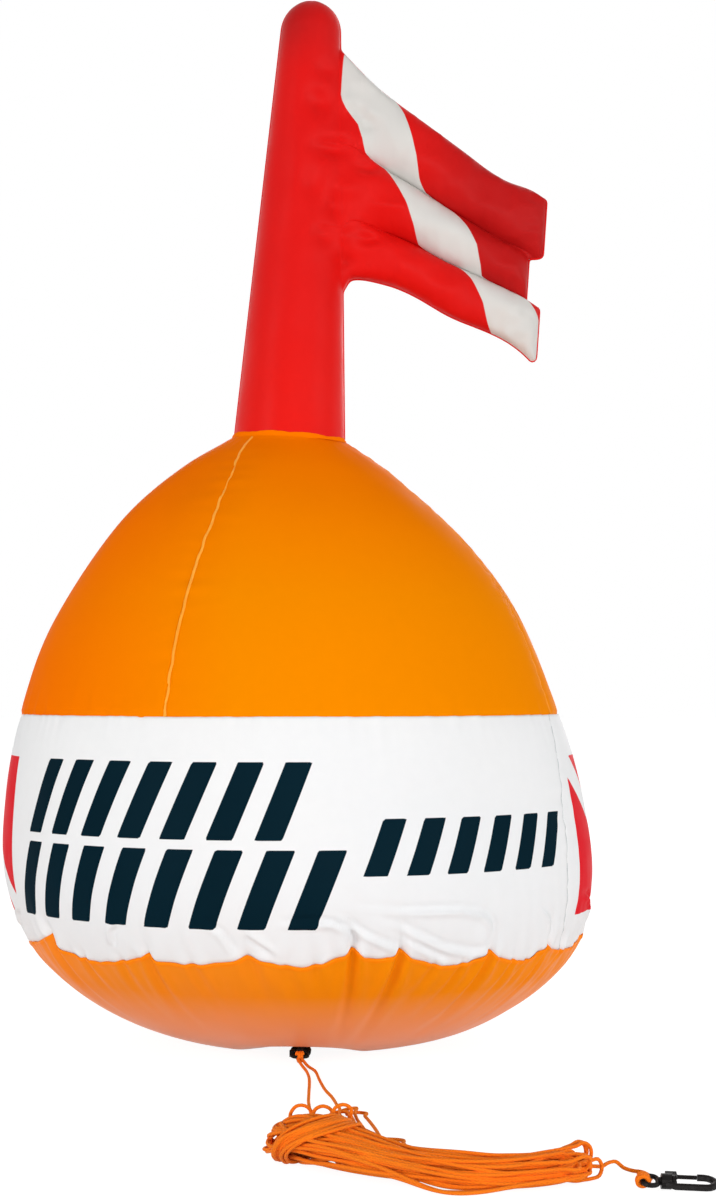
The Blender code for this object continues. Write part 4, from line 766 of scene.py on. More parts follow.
def mast_points(sizes, side):
    """Points, faces, stripe and shade values of one sheet of the mast and flag."""
    x, z, depth, stripe, lobes, reach = flag_sheet(sizes)
    across, along, radius, mast_depth, flag_rows = mast_sheet(sizes, z[:, 0], depth[:, :1])
    mast = np.stack([trimmed(across, radius), side * mast_depth, along], axis=-1).reshape(-1, 3)
    relief = flag_wrinkles(x, z, lobes, reach) * np.clip(depth / 0.006, 0.0, 1.0)
    relief = relief - dents(x, z) * np.clip(depth / 0.012, 0.0, 1.0)
    y = FLAG_SWEEP * reach**2 + side * np.maximum(depth + relief, 0.0)
    flag = np.stack([x, y, z], axis=-1)[:, 1:].reshape(-1, 3)

    mast_grid = np.arange(along.size).reshape(along.shape)
    flag_grid = along.size + np.arange(len(flag)).reshape(len(x), -1)
    flag_grid = np.concatenate([mast_grid[flag_rows, -1:], flag_grid], axis=1)
    faces = np.concatenate([grid_faces(mast_grid), grid_faces(flag_grid)])
    if side > 0.0:
        faces = faces[:, ::-1]

    mast_stripe = np.full(along.shape, -0.02)
    mast_stripe[flag_rows] = stripe[:, :1] - (radius - across)[flag_rows]
    # Painted shade: darker red on the mast's head, most on its left side, and on the flag towards the fly,
    # most in its upper lobes and along its top edge.
    head = ease((along - 0.214) / 0.040) * (0.45 + 0.55 * ease((0.012 - across) / 0.026))
    upper = ease((reach - 0.2) / 0.6) * (0.3 + 0.7 * ease((2.05 - lobes) / 0.2))
    upper = upper + 0.5 * np.exp(-lobes / 0.07) * ease((reach - 0.3) / 0.4)
    layers = {"stripe": (mast_stripe, stripe), "shade": (head, upper)}
    for key, (on_mast, on_flag) in layers.items():
        layers[key] = np.concatenate([on_mast.reshape(-1), on_flag[:, 1:].reshape(-1)])
    return np.concatenate([mast, flag]), faces.tolist(), layers


def rim_path(sizes):
    """Outline of the mast and flag in the mast's frame, from its left foot round to its right foot."""
    x, z, _, _, _, reach = flag_sheet(sizes)
    arc = MAST_ROUND_START + MAST_HEAD_RADIUS * np.sin(np.linspace(0.0, 0.5 * math.pi, 16))
    left = np.concatenate([np.linspace(0.003, MAST_ROUND_START, 80)[:-1], arc])
    right = np.concatenate([arc[::-1][1:], np.linspace(MAST_ROUND_START, HOIST_HEAD, 8)[1:-1]])
    low = np.linspace(HOIST_FOOT, 0.003, 30)[1:]
    flag = np.stack([x, FLAG_SWEEP * reach**2, z], axis=-1)
    return np.concatenate([
        np.stack([trimmed(-mast_radius(left), mast_radius(left)), 0.0 * left, left], axis=-1),
        np.stack([trimmed(mast_radius(right), mast_radius(right)), 0.0 * right, right], axis=-1),
        flag[-1], flag[::-1, -1][1:], flag[0, ::-1][1:],
        np.stack([mast_radius(low), 0.0 * low, low], axis=-1),
    ])


def mast_matrix():
    """Place and lean of the mast's frame."""
    foot = Vector((lean_at(MAST_FOOT_HEIGHT), 0.0, MAST_FOOT_HEIGHT))
    return Matrix.Translation(foot) @ Matrix.Rotation(MAST_LEAN, 4, "Y")


def carried(matrix, points):
    """Array of points moved by a matrix."""
    turn = np.array(matrix.to_3x3())
    return points @ turn.T + np.array(matrix.translation)


# Line

def tube(name, path, radius, sides=8):
    """Mesh tube along a path of points, closed at its ends, with the length in its UV map."""
    count = len(path)
    ahead = np.gradient(path, axis=0)
    ahead = ahead / np.linalg.norm(ahead, axis=1)[:, None]
    across = np.zeros_like(path)
    guide = np.array([0.0, 0.0, 1.0])
    if abs(ahead[0] @ guide) > 0.9:
        guide = np.array([1.0, 0.0, 0.0])
    for k in range(count):
        guide = guide - ahead[k] * (guide @ ahead[k])
        guide = guide / np.linalg.norm(guide)
        across[k] = guide
    other = np.cross(ahead, across)
    turn = 2.0 * math.pi * np.arange(sides) / sides
    ring = across[:, None] * np.cos(turn)[None, :, None] + other[:, None] * np.sin(turn)[None, :, None]
    points = (path[:, None] + radius * ring).reshape(-1, 3)
    index = np.arange(count * sides).reshape(count, sides)
    after = np.roll(index, -1, axis=1)
    quads = np.stack([index[:-1], after[:-1], after[1:], index[1:]], axis=-1).reshape(-1, 4)
    caps = [index[0, ::-1].tolist(), index[-1].tolist()]
    item = mesh_object(name, points, quads.tolist() + caps)
    u = quads % sides / sides
    u[:, 1:3] = u[:, :1] + 1.0 / sides
    uv = np.zeros((len(item.data.loops), 2), np.float32)
    uv[:quads.size] = np.stack([u, walked(path)[quads // sides]], axis=-1).reshape(-1, 2)
    item.data.uv_layers.new(name="along").data.foreach_set("uv", uv.reshape(-1))
    return item


def settle(path, diameter):
    """Lifts the later stretch over the earlier one where a line crosses itself."""
    lifted = path.copy()
    lengths = walked(path)
    skip = 8
    hump = 0.014
    for k in range(skip, len(path)):
        gap = np.hypot(*(lifted[:k - skip, :2] - path[k, :2]).T)
        under = lifted[:k - skip, 2][gap < 1.05 * diameter]
        if path[k, 2] < 0.004 and len(under) and under.max() < 0.008:
            need = under.max() + diameter
            near = np.abs(lengths - lengths[k]) < hump
            arch = 0.5 + 0.5 * np.cos(math.pi * (lengths[near] - lengths[k]) / hump)
            lifted[near, 2] = np.maximum(lifted[near, 2], path[near, 2] + (need - path[near, 2]) * arch)
    return lifted


def hank_place(stations, share, p, q):
    """Point of the hank at a share of its length and a place in its cross-section."""
    steps = np.linspace(0.0, 1.0, len(stations))
    x, y, half, height = (np.interp(share, steps, stations[:, k]) for k in range(4))
    ahead = [np.interp(share + 0.02, steps, stations[:, k]) - np.interp(share - 0.02, steps, stations[:, k])
             for k in (0, 1)]
    run = np.hypot(*ahead)
    z = 0.5 * height * (1.0 + q)
    return np.stack([x - ahead[1] / run * half * p, y + ahead[0] / run * half * p, z], axis=-1)


def hank_wraps(stations, turns=11):
    """Slanting turns of the line round the left end of the hank."""
    draw = np.random.default_rng(19)
    knots = turns * 4 + 1
    t = np.linspace(0.0, 1.0, turns * 48 + 1)
    at = np.linspace(0.0, 1.0, knots)
    slide, tilt, swell = (np.interp(t, at, smoothed(draw.uniform(-1.0, 1.0, knots), 1)) for _ in range(3))
    turn = 2.0 * math.pi * turns * t
    middle = 0.145 + 0.045 * (1.0 - 2.0 * t) + 0.020 * slide
    share = np.maximum(middle - (0.10 + 0.028 * tilt) * np.cos(turn), 0.004)
    size = 0.99 + 0.09 * swell
    return hank_place(stations, share, -size * np.sin(turn), -size * np.cos(turn))


def run_section(share, radius, angle, wander, drift):
    """Place of a run in the hank's cross-section, at shares of the hank's length."""
    places = np.linspace(0.0, 1.0, drift.shape[1])
    drift_p, drift_q = (np.interp(share, places, smoothed(row, 1)) for row in drift)
    twist = math.radians(-40.0 + 60.0 * wander[6]) * ease((share - 0.03) / 0.30)
    twist = twist + math.radians(20.0 + 65.0 * wander[7]) * ease((share - 0.33) / 0.6)
    splay = 1.0 - ease(share / 0.22)
    p = radius * np.cos(angle + twist) + drift_p + 0.45 * wander[4] * splay
    q = radius * np.sin(angle + twist) + drift_q + 0.35 * wander[5] * splay
    return p, q


def hank_runs(sizes):
    """Path of the line to and fro through the hank, from its turns round the left end."""
    draw = np.random.default_rng(7)
    stations = smooth_curve(HANK_STATIONS, 6)
    last = hank_wraps(stations)
    pieces = [last]
    for k in range(sizes.hank_runs):
        goes_right = k % 2 == 0
        ends_in_eye = k // 2 % 8 == 3
        stands_out = k % 9 == 4
        hangs_low = k % 14 in (5, 6)
        filled = (k + 0.5) / (2.0 * sizes.hank_runs)
        radius = 0.95 * math.sqrt(1.0 - filled if goes_right else filled)
        start = draw.uniform(0.0, LATEST_START)
        if goes_right:
            end = 0.935 - 0.11 * draw.uniform(0.0, 1.0) ** 1.6
            heart = draw.uniform(-0.45, 0.45)
        if ends_in_eye:
            end = EYE_END
        share = np.arange(start, end, RUN_STEP)
        wander = draw.uniform(-1.0, 1.0, 8)
        p, q = run_section(share, radius, HANK_TURN * k, wander, draw.normal(0.0, HANK_DRIFT, (2, 9)))
        edge = 0.93 + 0.10 * wander[2] + 0.05 * np.sin(17.0 * share + 3.0 * wander[3])
        reach = np.maximum(np.hypot(p, q) / edge, 1.0)
        if stands_out:
            middle = 0.25 + 0.6 * abs(wander[0])
            reach = reach / (1.0 + 0.24 * bell(share - middle, 0.08))
        if hangs_low:
            low = bell(share - 0.60, 0.12)
            p = p - 0.5 * low
            q = q - 0.6 * low
        p = p / reach
        q = q / reach
        if ends_in_eye:
            into = ease((share - 0.72) / 0.22)
            upper = k // 2 % 16 == 3
            level = (0.96 if goes_right else -0.10) if upper else (0.10 if goes_right else -0.96)
            p = p + into * (heart - p)
            q = q + into * (level - q)
        line = hank_place(stations, share, p, np.maximum(q, -1.0))
        if not goes_right:
            line = line[::-1]
        wide = k % 8 == 2 or (ends_in_eye and not goes_right)
        pieces += [fold(last, line, WIDE_FOLD_REACH if wide else FOLD_REACH), line]
        last = line
    return np.concatenate(pieces)


def fold(before, after, extra=FOLD_REACH, samples=9):
    """Turn of the line from the end of one run to the start of the next, round where it is narrow."""
    a, b = before[-1], after[0]
    da = before[-1] - before[-3]
    db = after[2] - after[0]
    da = da / np.linalg.norm(da)
    db = db / np.linalg.norm(db)
    gap = np.linalg.norm(b - a)
    if da @ db < 0.0:
        away = max(1.0 - gap / FOLD_WIDTH, 0.0) * (a - b) / max(gap, 1e-6)
        da = da + away
        db = db + away
    handle = 0.9 * gap + extra
    t = (np.arange(1, samples) / samples)[:, None]
    da = da / np.linalg.norm(da) * handle
    db = db / np.linalg.norm(db) * handle
    return hermite(t, 1.0, a, b, da, db)


def opened(path, passes=160):
    """Opens the turns that are tighter than the line bends, at its own length."""
    step = np.linalg.norm(np.diff(path, axis=0), axis=1)
    path = path.copy()
    for _ in range(passes):
        move = np.zeros_like(path)
        span = path[2:] - path[:-2]
        chord = np.maximum(np.linalg.norm(span, axis=1), 1e-6)
        push = (0.5 * np.maximum(TIGHTEST_CHORD - chord, 0.0) / chord)[:, None] * span
        move[2:] += push
        move[:-2] -= push
        run = path[1:] - path[:-1]
        length = np.maximum(np.linalg.norm(run, axis=1), 1e-6)
        pull = (0.5 * (length - step) / length)[:, None] * run
        move[:-1] += pull
        move[1:] -= pull
        path[1:-1] += 0.45 * move[1:-1]
        path[:, 2] = np.maximum(path[:, 2], LOWEST_MIDDLE)
    return path


def bar_turns(matrix, turns, radius, width):
    """Turns of line round the bar of a hook's eye, in world coordinates."""
    t = np.linspace(0.0, 1.0, int(turns * 20))
    angle = 2.0 * math.pi * turns * t
    local = np.stack([0.0012 + radius * np.cos(angle), width * (t - 0.5), radius * np.sin(angle)], axis=-1)
    return carried(matrix, local)


def leg_knot_turns(end):
    """Turns of the small knot at the end of the right leg."""
    t = np.linspace(0.0, math.pi, 60)
    x = 0.0022 * np.sin(4.0 * t) * np.cos(2.4 * t)
    y = 0.0024 * np.cos(4.0 * t) - 0.0020
    z = 0.0011 * np.sin(6.0 * t) + 0.0012
    return end + np.stack([x, y, z], axis=-1)


def upper_hook_matrix():
    """Place of the upper hook's eye, whose bar the line is tied to."""
    return Matrix.Translation(UPPER_EYE_PLACE) @ Matrix.Rotation(math.radians(90.0), 4, "Z")


def lower_hook_matrix():
    """Place of the lower hook's eye, whose bar the line is tied to."""
    turn = Matrix.Rotation(math.radians(2.5), 4, "Y") @ Matrix.Rotation(math.radians(15.0), 4, "X")
    return Matrix.Translation(LOWER_EYE_PLACE) @ turn


# Materials

def put(tree, socket, value):
    """Links a socket to another node's output, or sets its value."""
    if isinstance(value, bpy.types.NodeSocket):
        tree.links.new(value, socket)
    else:
        socket.default_value = value


def add_node(tree, kind, *inputs, **settings):
    """New node with its settings, and its inputs as pairs of a socket and what it gets."""
    item = tree.nodes.new(kind)
    for key, value in settings.items():
        setattr(item, key, value)
    for socket, value in inputs:
        put(tree, item.inputs[socket], value)
    return item


class Finish:
    """Builds one material's nodes round its Principled shader."""

    def __init__(self, name, roughness=0.5, specular=0.5):
        self.material = bpy.data.materials.new(name)
        self.material.use_nodes = True
        self.tree = self.material.node_tree
        self.shader = self.tree.nodes["Principled BSDF"]
        self.put("Roughness", roughness)
        self.put("Specular IOR Level", specular)
        self.places = self.node("ShaderNodeTexCoord").outputs["Object"]
        self.relief = None

    def put(self, name, value):
        """Links or sets one of the shader's inputs."""
        put(self.tree, self.shader.inputs[name], value)

    def node(self, kind, *inputs, **settings):
        """New node of this material."""
        return add_node(self.tree, kind, *inputs, **settings)

    def noise(self, scale, detail=3.0):
        """Soft noise over the object's own space, 0 to 1."""
        texture = self.node("ShaderNodeTexNoise", ("Vector", self.places), ("Scale", scale),
                            ("Detail", detail))
        return texture.outputs["Fac"]

    def ramp(self, value, low, high, out_low=0.0, out_high=1.0):
        """Value carried from one range to another, and held at its ends."""
        item = self.node("ShaderNodeMapRange", ("Value", value), ("From Min", low), ("From Max", high),
                         ("To Min", out_low), ("To Max", out_high))
        return item.outputs[0]

    def mix(self, share, a, b):
        """Colour between two colours, at a share from the first to the second."""
        return self.node("ShaderNodeMix", (0, share), (6, a), (7, b), data_type="RGBA").outputs[2]

    def combine(self, operation, a, b):
        """Result of a sum, product or the like of two values."""
        return self.node("ShaderNodeMath", (0, a), (1, b), operation=operation).outputs[0]

    def attribute(self, name):
        """Value that the mesh stores for its points."""
        return self.node("ShaderNodeAttribute", attribute_name=name).outputs["Fac"]

    def axis(self, vector, index):
        """One coordinate of a vector."""
        return self.node("ShaderNodeSeparateXYZ", ("Vector", vector)).outputs[index]

    def bump(self, value, distance, strength=1.0):
        """Relief from a value, laid over the relief that is there."""
        inputs = [("Height", value), ("Distance", distance), ("Strength", strength)]
        if self.relief is not None:
            inputs.append(("Normal", self.relief))
        self.relief = self.node("ShaderNodeBump", *inputs).outputs[0]
        self.put("Normal", self.relief)


def tint(name, factor=1.0):
    """One of the panel's colours, lighter or darker by a factor."""
    colour = getattr(bpy.context.scene.buoy_colours, name)
    return (colour[0] * factor, colour[1] * factor, colour[2] * factor, 1.0)


def sheet_finish(name, colour, deep, roughness=0.36, specular=FILM_SPECULAR):
    """Satin PVC film: soft colour drift, fine grain and slight slackness."""
    finish = Finish(name, roughness, specular)
    drift = finish.ramp(finish.noise(4.0, 2.0), 0.35, 0.65)
    speck = finish.ramp(finish.noise(160.0), 0.3, 0.7)
    tone = finish.mix(drift, tint(colour), tint(deep))
    finish.base = finish.mix(finish.combine("MULTIPLY", speck, 0.10), tone, tint(deep, 0.9))
    finish.put("Base Color", finish.base)
    finish.put("Roughness", finish.ramp(finish.noise(35.0), 0.3, 0.7, roughness - 0.05, roughness + 0.07))
    finish.bump(finish.noise(18.0, 2.0), 0.0012, 0.35)
    finish.bump(finish.noise(1400.0, 2.0), 0.00004, 0.5)
    return finish


def orange_finish():
    """Orange film of the dome, with painted shade: redder towards the crown and its left side."""
    finish = sheet_finish("orange_film", "orange", "orange", specular=DOME_SPECULAR)
    # Painted shade: the orange turns redder towards the crown and the left side, where less light falls.
    crown = finish.ramp(finish.axis(finish.places, 2), 0.26, 0.38, 0.0, 0.75)
    left = finish.ramp(finish.axis(finish.places, 0), -0.03, -0.17, 0.0, 0.9)
    share = finish.combine("ADD", crown, left)
    finish.put("Base Color", finish.mix(share, finish.base, tint("orange_painted_shade")))
    return finish.material


def bottom_finish():
    """Orange film of the bottom, with a painted reflection of the floor that makes it paler near the floor,
    and clear orange at its rim.
    """
    finish = sheet_finish("orange_bottom_film", "orange_bottom", "orange", 0.42, BOTTOM_SPECULAR)
    # Painted reflection: the film turns pale near the floor, standing in for light thrown up from the white
    # floor.
    low = finish.ramp(finish.axis(finish.places, 2), 0.044, 0.004, 0.0, 0.9)
    pale = finish.mix(low, finish.base, tint("orange_painted_floor_reflection"))
    rim = finish.ramp(finish.attribute("rim"), 0.0034, 0.0012, 0.0, 0.9)
    finish.put("Base Color", finish.mix(rim, pale, tint("orange_rim")))
    return finish.material


def seam_finish():
    """Paler orange film of the upright welds."""
    return sheet_finish("orange_weld", "orange_weld", "orange", 0.42).material


def band_finish():
    """White film with dark bars and red panels printed on it."""
    finish = sheet_finish("white_film", "white", "white_shade", 0.34, BAND_SPECULAR)
    dark = finish.ramp(finish.attribute("ink_dark"), -0.00012, 0.00012)
    red = finish.ramp(finish.attribute("ink_red"), -0.00012, 0.00012)
    ink = finish.mix(finish.noise(9.0, 2.0), tint("ink"), tint("ink", 1.8))
    finish.put("Base Color", finish.mix(red, finish.mix(dark, finish.base, ink), tint("print_red")))
    finish.bump(finish.combine("MAXIMUM", dark, red), 0.00003, 0.5)
    return finish.material


def flag_finish():
    """Red film of the mast and flag with its pale stripe, and painted shade at the mast's head and towards
    the fly.
    """
    finish = sheet_finish("red_film", "red", "red_deep", 0.44)
    stripe = finish.ramp(finish.attribute("stripe"), -0.0002, 0.0002)
    pale = finish.mix(finish.noise(30.0), tint("stripe"), tint("stripe", 0.92))
    # Painted shade: the red darkens as far as the shade values say.
    painted_shade = finish.mix(finish.attribute("shade"), finish.base, tint("red_painted_shade"))
    finish.put("Base Color", finish.mix(stripe, painted_shade, pale))
    finish.bump(finish.noise(60.0), 0.0009, 0.35)
    return finish.material


def closing_finish():
    """Grey weld of the band's closing seams."""
    finish = Finish("white_weld", 0.5)
    grey = finish.mix(finish.noise(260.0), (0.36, 0.38, 0.40, 1.0), (0.62, 0.64, 0.65, 1.0))
    finish.put("Base Color", grey)
    finish.bump(finish.noise(500.0, 2.0), 0.0002, 0.5)
    return finish.material


def cord_finish():
    """Braided cord: crossed strands from the length and side of the tube, with painted shade between the
    strands.
    """
    finish = Finish("braided_line", 0.62, 0.10)
    finish.put("Sheen Weight", 0.28)
    finish.put("Sheen Roughness", 0.6)
    finish.put("Sheen Tint", (1.0, 0.45, 0.12, 1.0))
    places = finish.node("ShaderNodeUVMap", uv_map="along").outputs[0]
    waves = []
    for strands in (4.0, -4.0):
        turned = finish.combine("MULTIPLY", finish.axis(places, 0), strands)
        along = finish.combine("MULTIPLY", finish.axis(places, 1), 1.0 / STRAND_PITCH)
        angle = finish.combine("MULTIPLY", finish.combine("ADD", turned, along), 2.0 * math.pi)
        waves.append(finish.combine("SINE", angle, 0.0))
    weave = finish.ramp(finish.combine("MAXIMUM", *waves), -0.4, 1.0)
    tone = finish.mix(finish.noise(45.0, 2.0), tint("cord"), tint("cord_deep_and_gap_shade"))
    # Painted shade: the colour darkens between the strands, where the braid's gaps lie in shade.
    finish.put("Base Color", finish.mix(weave, finish.mix(0.5, tone, tint("cord_deep_and_gap_shade", 0.8)), tone))
    finish.bump(weave, 0.00014, 0.7)
    finish.bump(finish.noise(2200.0, 2.0), 0.00006, 0.6)
    return finish.material


def acetal_finish():
    """Black moulded plastic of the hooks."""
    finish = Finish("moulded_acetal", 0.42, 0.12)
    black = finish.mix(finish.noise(120.0), (0.0035, 0.0025, 0.0025, 1.0), (0.008, 0.006, 0.006, 1.0))
    finish.put("Base Color", black)
    finish.put("Roughness", finish.ramp(finish.noise(400.0), 0.3, 0.7, 0.36, 0.52))
    finish.bump(finish.noise(900.0), 0.00006, 0.5)
    return finish.material


def webbing_finish():
    """Black woven strap of the loop under the body."""
    finish = Finish("woven_strap", 0.8, 0.2)
    finish.put("Sheen Weight", 0.2)
    ribs, cross = (finish.node("ShaderNodeTexWave", ("Vector", finish.places), ("Scale", scale),
                               ("Distortion", distortion), bands_direction=direction)
                   for scale, distortion, direction in ((500.0, 0.4, "X"), (700.0, 0.0, "Y")))
    weave = finish.combine("MULTIPLY", ribs.outputs["Fac"], cross.outputs["Fac"])
    finish.put("Base Color", finish.mix(weave, (0.008, 0.008, 0.009, 1.0), (0.035, 0.035, 0.038, 1.0)))
    finish.bump(weave, 0.0002, 0.8)
    return finish.material


def clear_finish():
    """Soft milky PVC of the valve."""
    finish = Finish("milky_film", 0.3, 0.4)
    finish.put("Subsurface Weight", 0.3)
    finish.put("Subsurface Radius", (0.004, 0.004, 0.003))
    finish.put("Subsurface Scale", 0.5)
    milk = finish.mix(finish.noise(60.0, 2.0), (0.66, 0.67, 0.64, 1.0), (0.74, 0.75, 0.72, 1.0))
    finish.put("Base Color", milk)
    finish.put("Roughness", finish.ramp(finish.noise(200.0, 2.0), 0.3, 0.7, 0.24, 0.36))
    finish.bump(finish.noise(700.0, 2.0), 0.00005, 0.5)
    return finish.material


def made(name, maker):
    """Material of a name, made once."""
    return bpy.data.materials.get(name) or maker()


class BuoySizes(bpy.types.PropertyGroup):
    """Sizes and mesh counts of the fine pieces."""

    grid_body: FloatProperty(name="Body mesh", description="Spacing of the body's mesh", default=0.002,
                             min=0.001, unit="LENGTH")
    sheet: FloatProperty(name="Sheet", description="Thickness of the film", default=0.0006, unit="LENGTH")
    lap: FloatProperty(name="Lap", description="How far one film runs under the next", default=0.003,
                       unit="LENGTH")
    seam_width: FloatProperty(name="Seam width", description="Width of an upright weld", default=0.0019,
                              unit="LENGTH")
    seam_height: FloatProperty(name="Seam height", description="How far a weld stands out", default=0.0006,
                               unit="LENGTH")
    lip_height: FloatProperty(name="Lip height", description="Height of the collar's lip", default=0.0024,
                              unit="LENGTH")
    flag_depth_hoist: FloatProperty(name="Flag depth at hoist", description="Half depth beside the mast",
                                    default=0.0168, unit="LENGTH")
    flag_depth_fly: FloatProperty(name="Flag depth at fly", description="Half depth near the free end",
                                  default=0.0095, unit="LENGTH")
    rim_radius: FloatProperty(name="Rim radius", description="Half width of the weld round the mast and flag",
                              default=0.0006, unit="LENGTH")
    lobe_rows: IntProperty(name="Lobe rows", description="Mesh rows across each lobe", default=30, min=8)
    flag_columns: IntProperty(name="Flag columns", description="Mesh columns along the flag", default=84,
                              min=16)
    mast_columns: IntProperty(name="Mast columns", description="Mesh columns across the mast", default=40,
                              min=12)
    mast_rows_below: IntProperty(name="Mast rows", description="Mesh rows below the flag", default=44, min=8)
    hank_runs: IntProperty(name="Hank runs", description="Runs of the line in its hank", default=84, min=2)
    cord_step: FloatProperty(name="Line step", description="Spacing of the line's points", default=0.0042,
                             unit="LENGTH")


class BuoyColours(bpy.types.PropertyGroup):
    """Colours of the films, prints and line."""

    orange: FloatVectorProperty(name="Orange", description="Orange film", subtype="COLOR",
                                default=(0.90, 0.25, 0.0))
    # Painted shade of the dome, laid on its crown and left side.
    orange_painted_shade: FloatVectorProperty(name="Deep orange", description="Redder drift of the orange film",
                                     subtype="COLOR", default=(0.97, 0.150, 0.0))
    orange_bottom: FloatVectorProperty(name="Orange bottom", description="Orange film of the bottom",
                                       subtype="COLOR", default=(0.98, 0.255, 0.020))
    # Painted reflection of the floor on the lowest part of the bottom.
    orange_painted_floor_reflection: FloatVectorProperty(name="Pale orange", description="Bottom film near the floor",
                                     subtype="COLOR", default=(0.96, 0.41, 0.24))
    orange_rim: FloatVectorProperty(name="Orange rim", description="Bottom film at the gathered seam",
                                    subtype="COLOR", default=(1.0, 0.235, 0.0))
    orange_weld: FloatVectorProperty(name="Orange weld", description="Paler film at the welds",
                                     subtype="COLOR", default=(1.0, 0.42, 0.05))
    white: FloatVectorProperty(name="White", description="White film", subtype="COLOR",
                               default=(0.88, 0.88, 0.88))
    white_shade: FloatVectorProperty(name="White shade", description="Duller drift of the white film",
                                     subtype="COLOR", default=(0.84, 0.85, 0.86))
    ink: FloatVectorProperty(name="Ink", description="Dark printed bars", subtype="COLOR",
                             default=(0.002, 0.011, 0.018))
    print_red: FloatVectorProperty(name="Print red", description="Red printed panels", subtype="COLOR",
                                   default=(0.76, 0.010, 0.020))
    red: FloatVectorProperty(name="Red", description="Red film", subtype="COLOR",
                             default=(0.76, 0.008, 0.005))
    red_deep: FloatVectorProperty(name="Deep red", description="Darker drift of the red film",
                                  subtype="COLOR", default=(0.66, 0.006, 0.006))
    # Painted shade of the mast's head and of the flag towards its fly.
    red_painted_shade: FloatVectorProperty(name="Dull red", description="Red film at the fly and the mast's head",
                                  subtype="COLOR", default=(0.46, 0.008, 0.008))
    stripe: FloatVectorProperty(name="Stripe", description="Pale stripe", subtype="COLOR",
                                default=(0.67, 0.65, 0.62))
    cord: FloatVectorProperty(name="Line", description="Braided line", subtype="COLOR",
                              default=(1.0, 0.245, 0.006))
    # Darker strands of the line at random, and, at 0.8, the painted shade between its strands.
    cord_deep_and_gap_shade: FloatVectorProperty(name="Deep line", description="Darker strands of the line",
                                   subtype="COLOR", default=(0.98, 0.175, 0.005))


class BUOY_OT_stage(bpy.types.Operator):
    """Camera at the viewing place, pale floor, white surround and soft lamps"""

    bl_idname = "buoy.stage"
    bl_label = "Stage"

    def execute(self, context):
        scene = context.scene
        camera = bpy.data.objects.new("view", bpy.data.cameras.new("view"))
        camera.location = CAMERA_PLACE
        camera.rotation_euler = (math.radians(90.0), 0.0, 0.0)
        camera.data.lens = CAMERA_LENS
        camera.data.sensor_width = 36.0
        camera.data.shift_y = CAMERA_SHIFT
        scene.collection.objects.link(camera)
        scene.camera = camera
        scene.view_settings.view_transform = "Standard"
        self.floor()
        self.surround(scene)
        for name, place, size, power in LAMPS:
            data = bpy.data.lights.new(name, "AREA")
            data.shape = "RECTANGLE"
            data.size, data.size_y = size
            data.energy = power
            lamp = bpy.data.objects.new(name, data)
            lamp.location = place
            lamp.rotation_euler = (Vector(LAMP_AIM) - Vector(place)).to_track_quat("-Z", "Y").to_euler()
            scene.collection.objects.link(lamp)
        return {"FINISHED"}

    def floor(self):
        """Pale floor, brighter to the camera and in mirrors than to the object."""
        bpy.ops.mesh.primitive_grid_add(x_subdivisions=8, y_subdivisions=8, size=FLOOR_SIZE)
        floor = bpy.context.object
        floor.name = "floor"
        material = bpy.data.materials.new("floor_white")
        material.use_nodes = True
        tree = material.node_tree
        tree.nodes.clear()
        share = add_node(tree, "ShaderNodeMath", (0, light_seen(tree)), (1, FLOOR_GLOW_SHARE),
                         operation="MULTIPLY")
        plain = add_node(tree, "ShaderNodeBsdfDiffuse", ("Color", (0.86, 0.86, 0.86, 1.0)))
        glow = add_node(tree, "ShaderNodeEmission", ("Strength", FLOOR_GLOW))
        mixed = add_node(tree, "ShaderNodeMixShader", (0, share.outputs[0]), (1, plain.outputs[0]),
                         (2, glow.outputs[0]))
        add_node(tree, "ShaderNodeOutputMaterial", (0, mixed.outputs[0]))
        floor.data.materials.append(material)

    def surround(self, scene):
        """White surround to the camera, and soft light that is weaker from above to the object."""
        scene.world = bpy.data.worlds.new("surround")
        scene.world.use_nodes = True
        tree = scene.world.node_tree
        tree.nodes.clear()
        direction = add_node(tree, "ShaderNodeTexCoord").outputs["Generated"]
        height = add_node(tree, "ShaderNodeSeparateXYZ", (0, direction)).outputs[2]
        level = add_node(tree, "ShaderNodeMapRange", ("Value", height), ("From Min", 0.0),
                         ("From Max", 0.7), ("To Min", 0.93), ("To Max", 0.30))
        ambient = add_node(tree, "ShaderNodeBackground", (0, WHITE), (1, level.outputs[0]))
        plain = add_node(tree, "ShaderNodeBackground", (0, WHITE))
        mixed = add_node(tree, "ShaderNodeMixShader", (0, light_seen(tree)), (1, ambient.outputs[0]),
                         (2, plain.outputs[0]))
        add_node(tree, "ShaderNodeOutputWorld", (0, mixed.outputs[0]))


def light_seen(tree):
    """1 where a camera, mirror or glass ray looks, otherwise 0."""
    path = add_node(tree, "ShaderNodeLightPath")
    total = path.outputs["Is Camera Ray"]
    for name in ("Is Glossy Ray", "Is Transmission Ray"):
        total = add_node(tree, "ShaderNodeMath", (0, total), (1, path.outputs[name]),
                         operation="MAXIMUM").outputs[0]
    return total


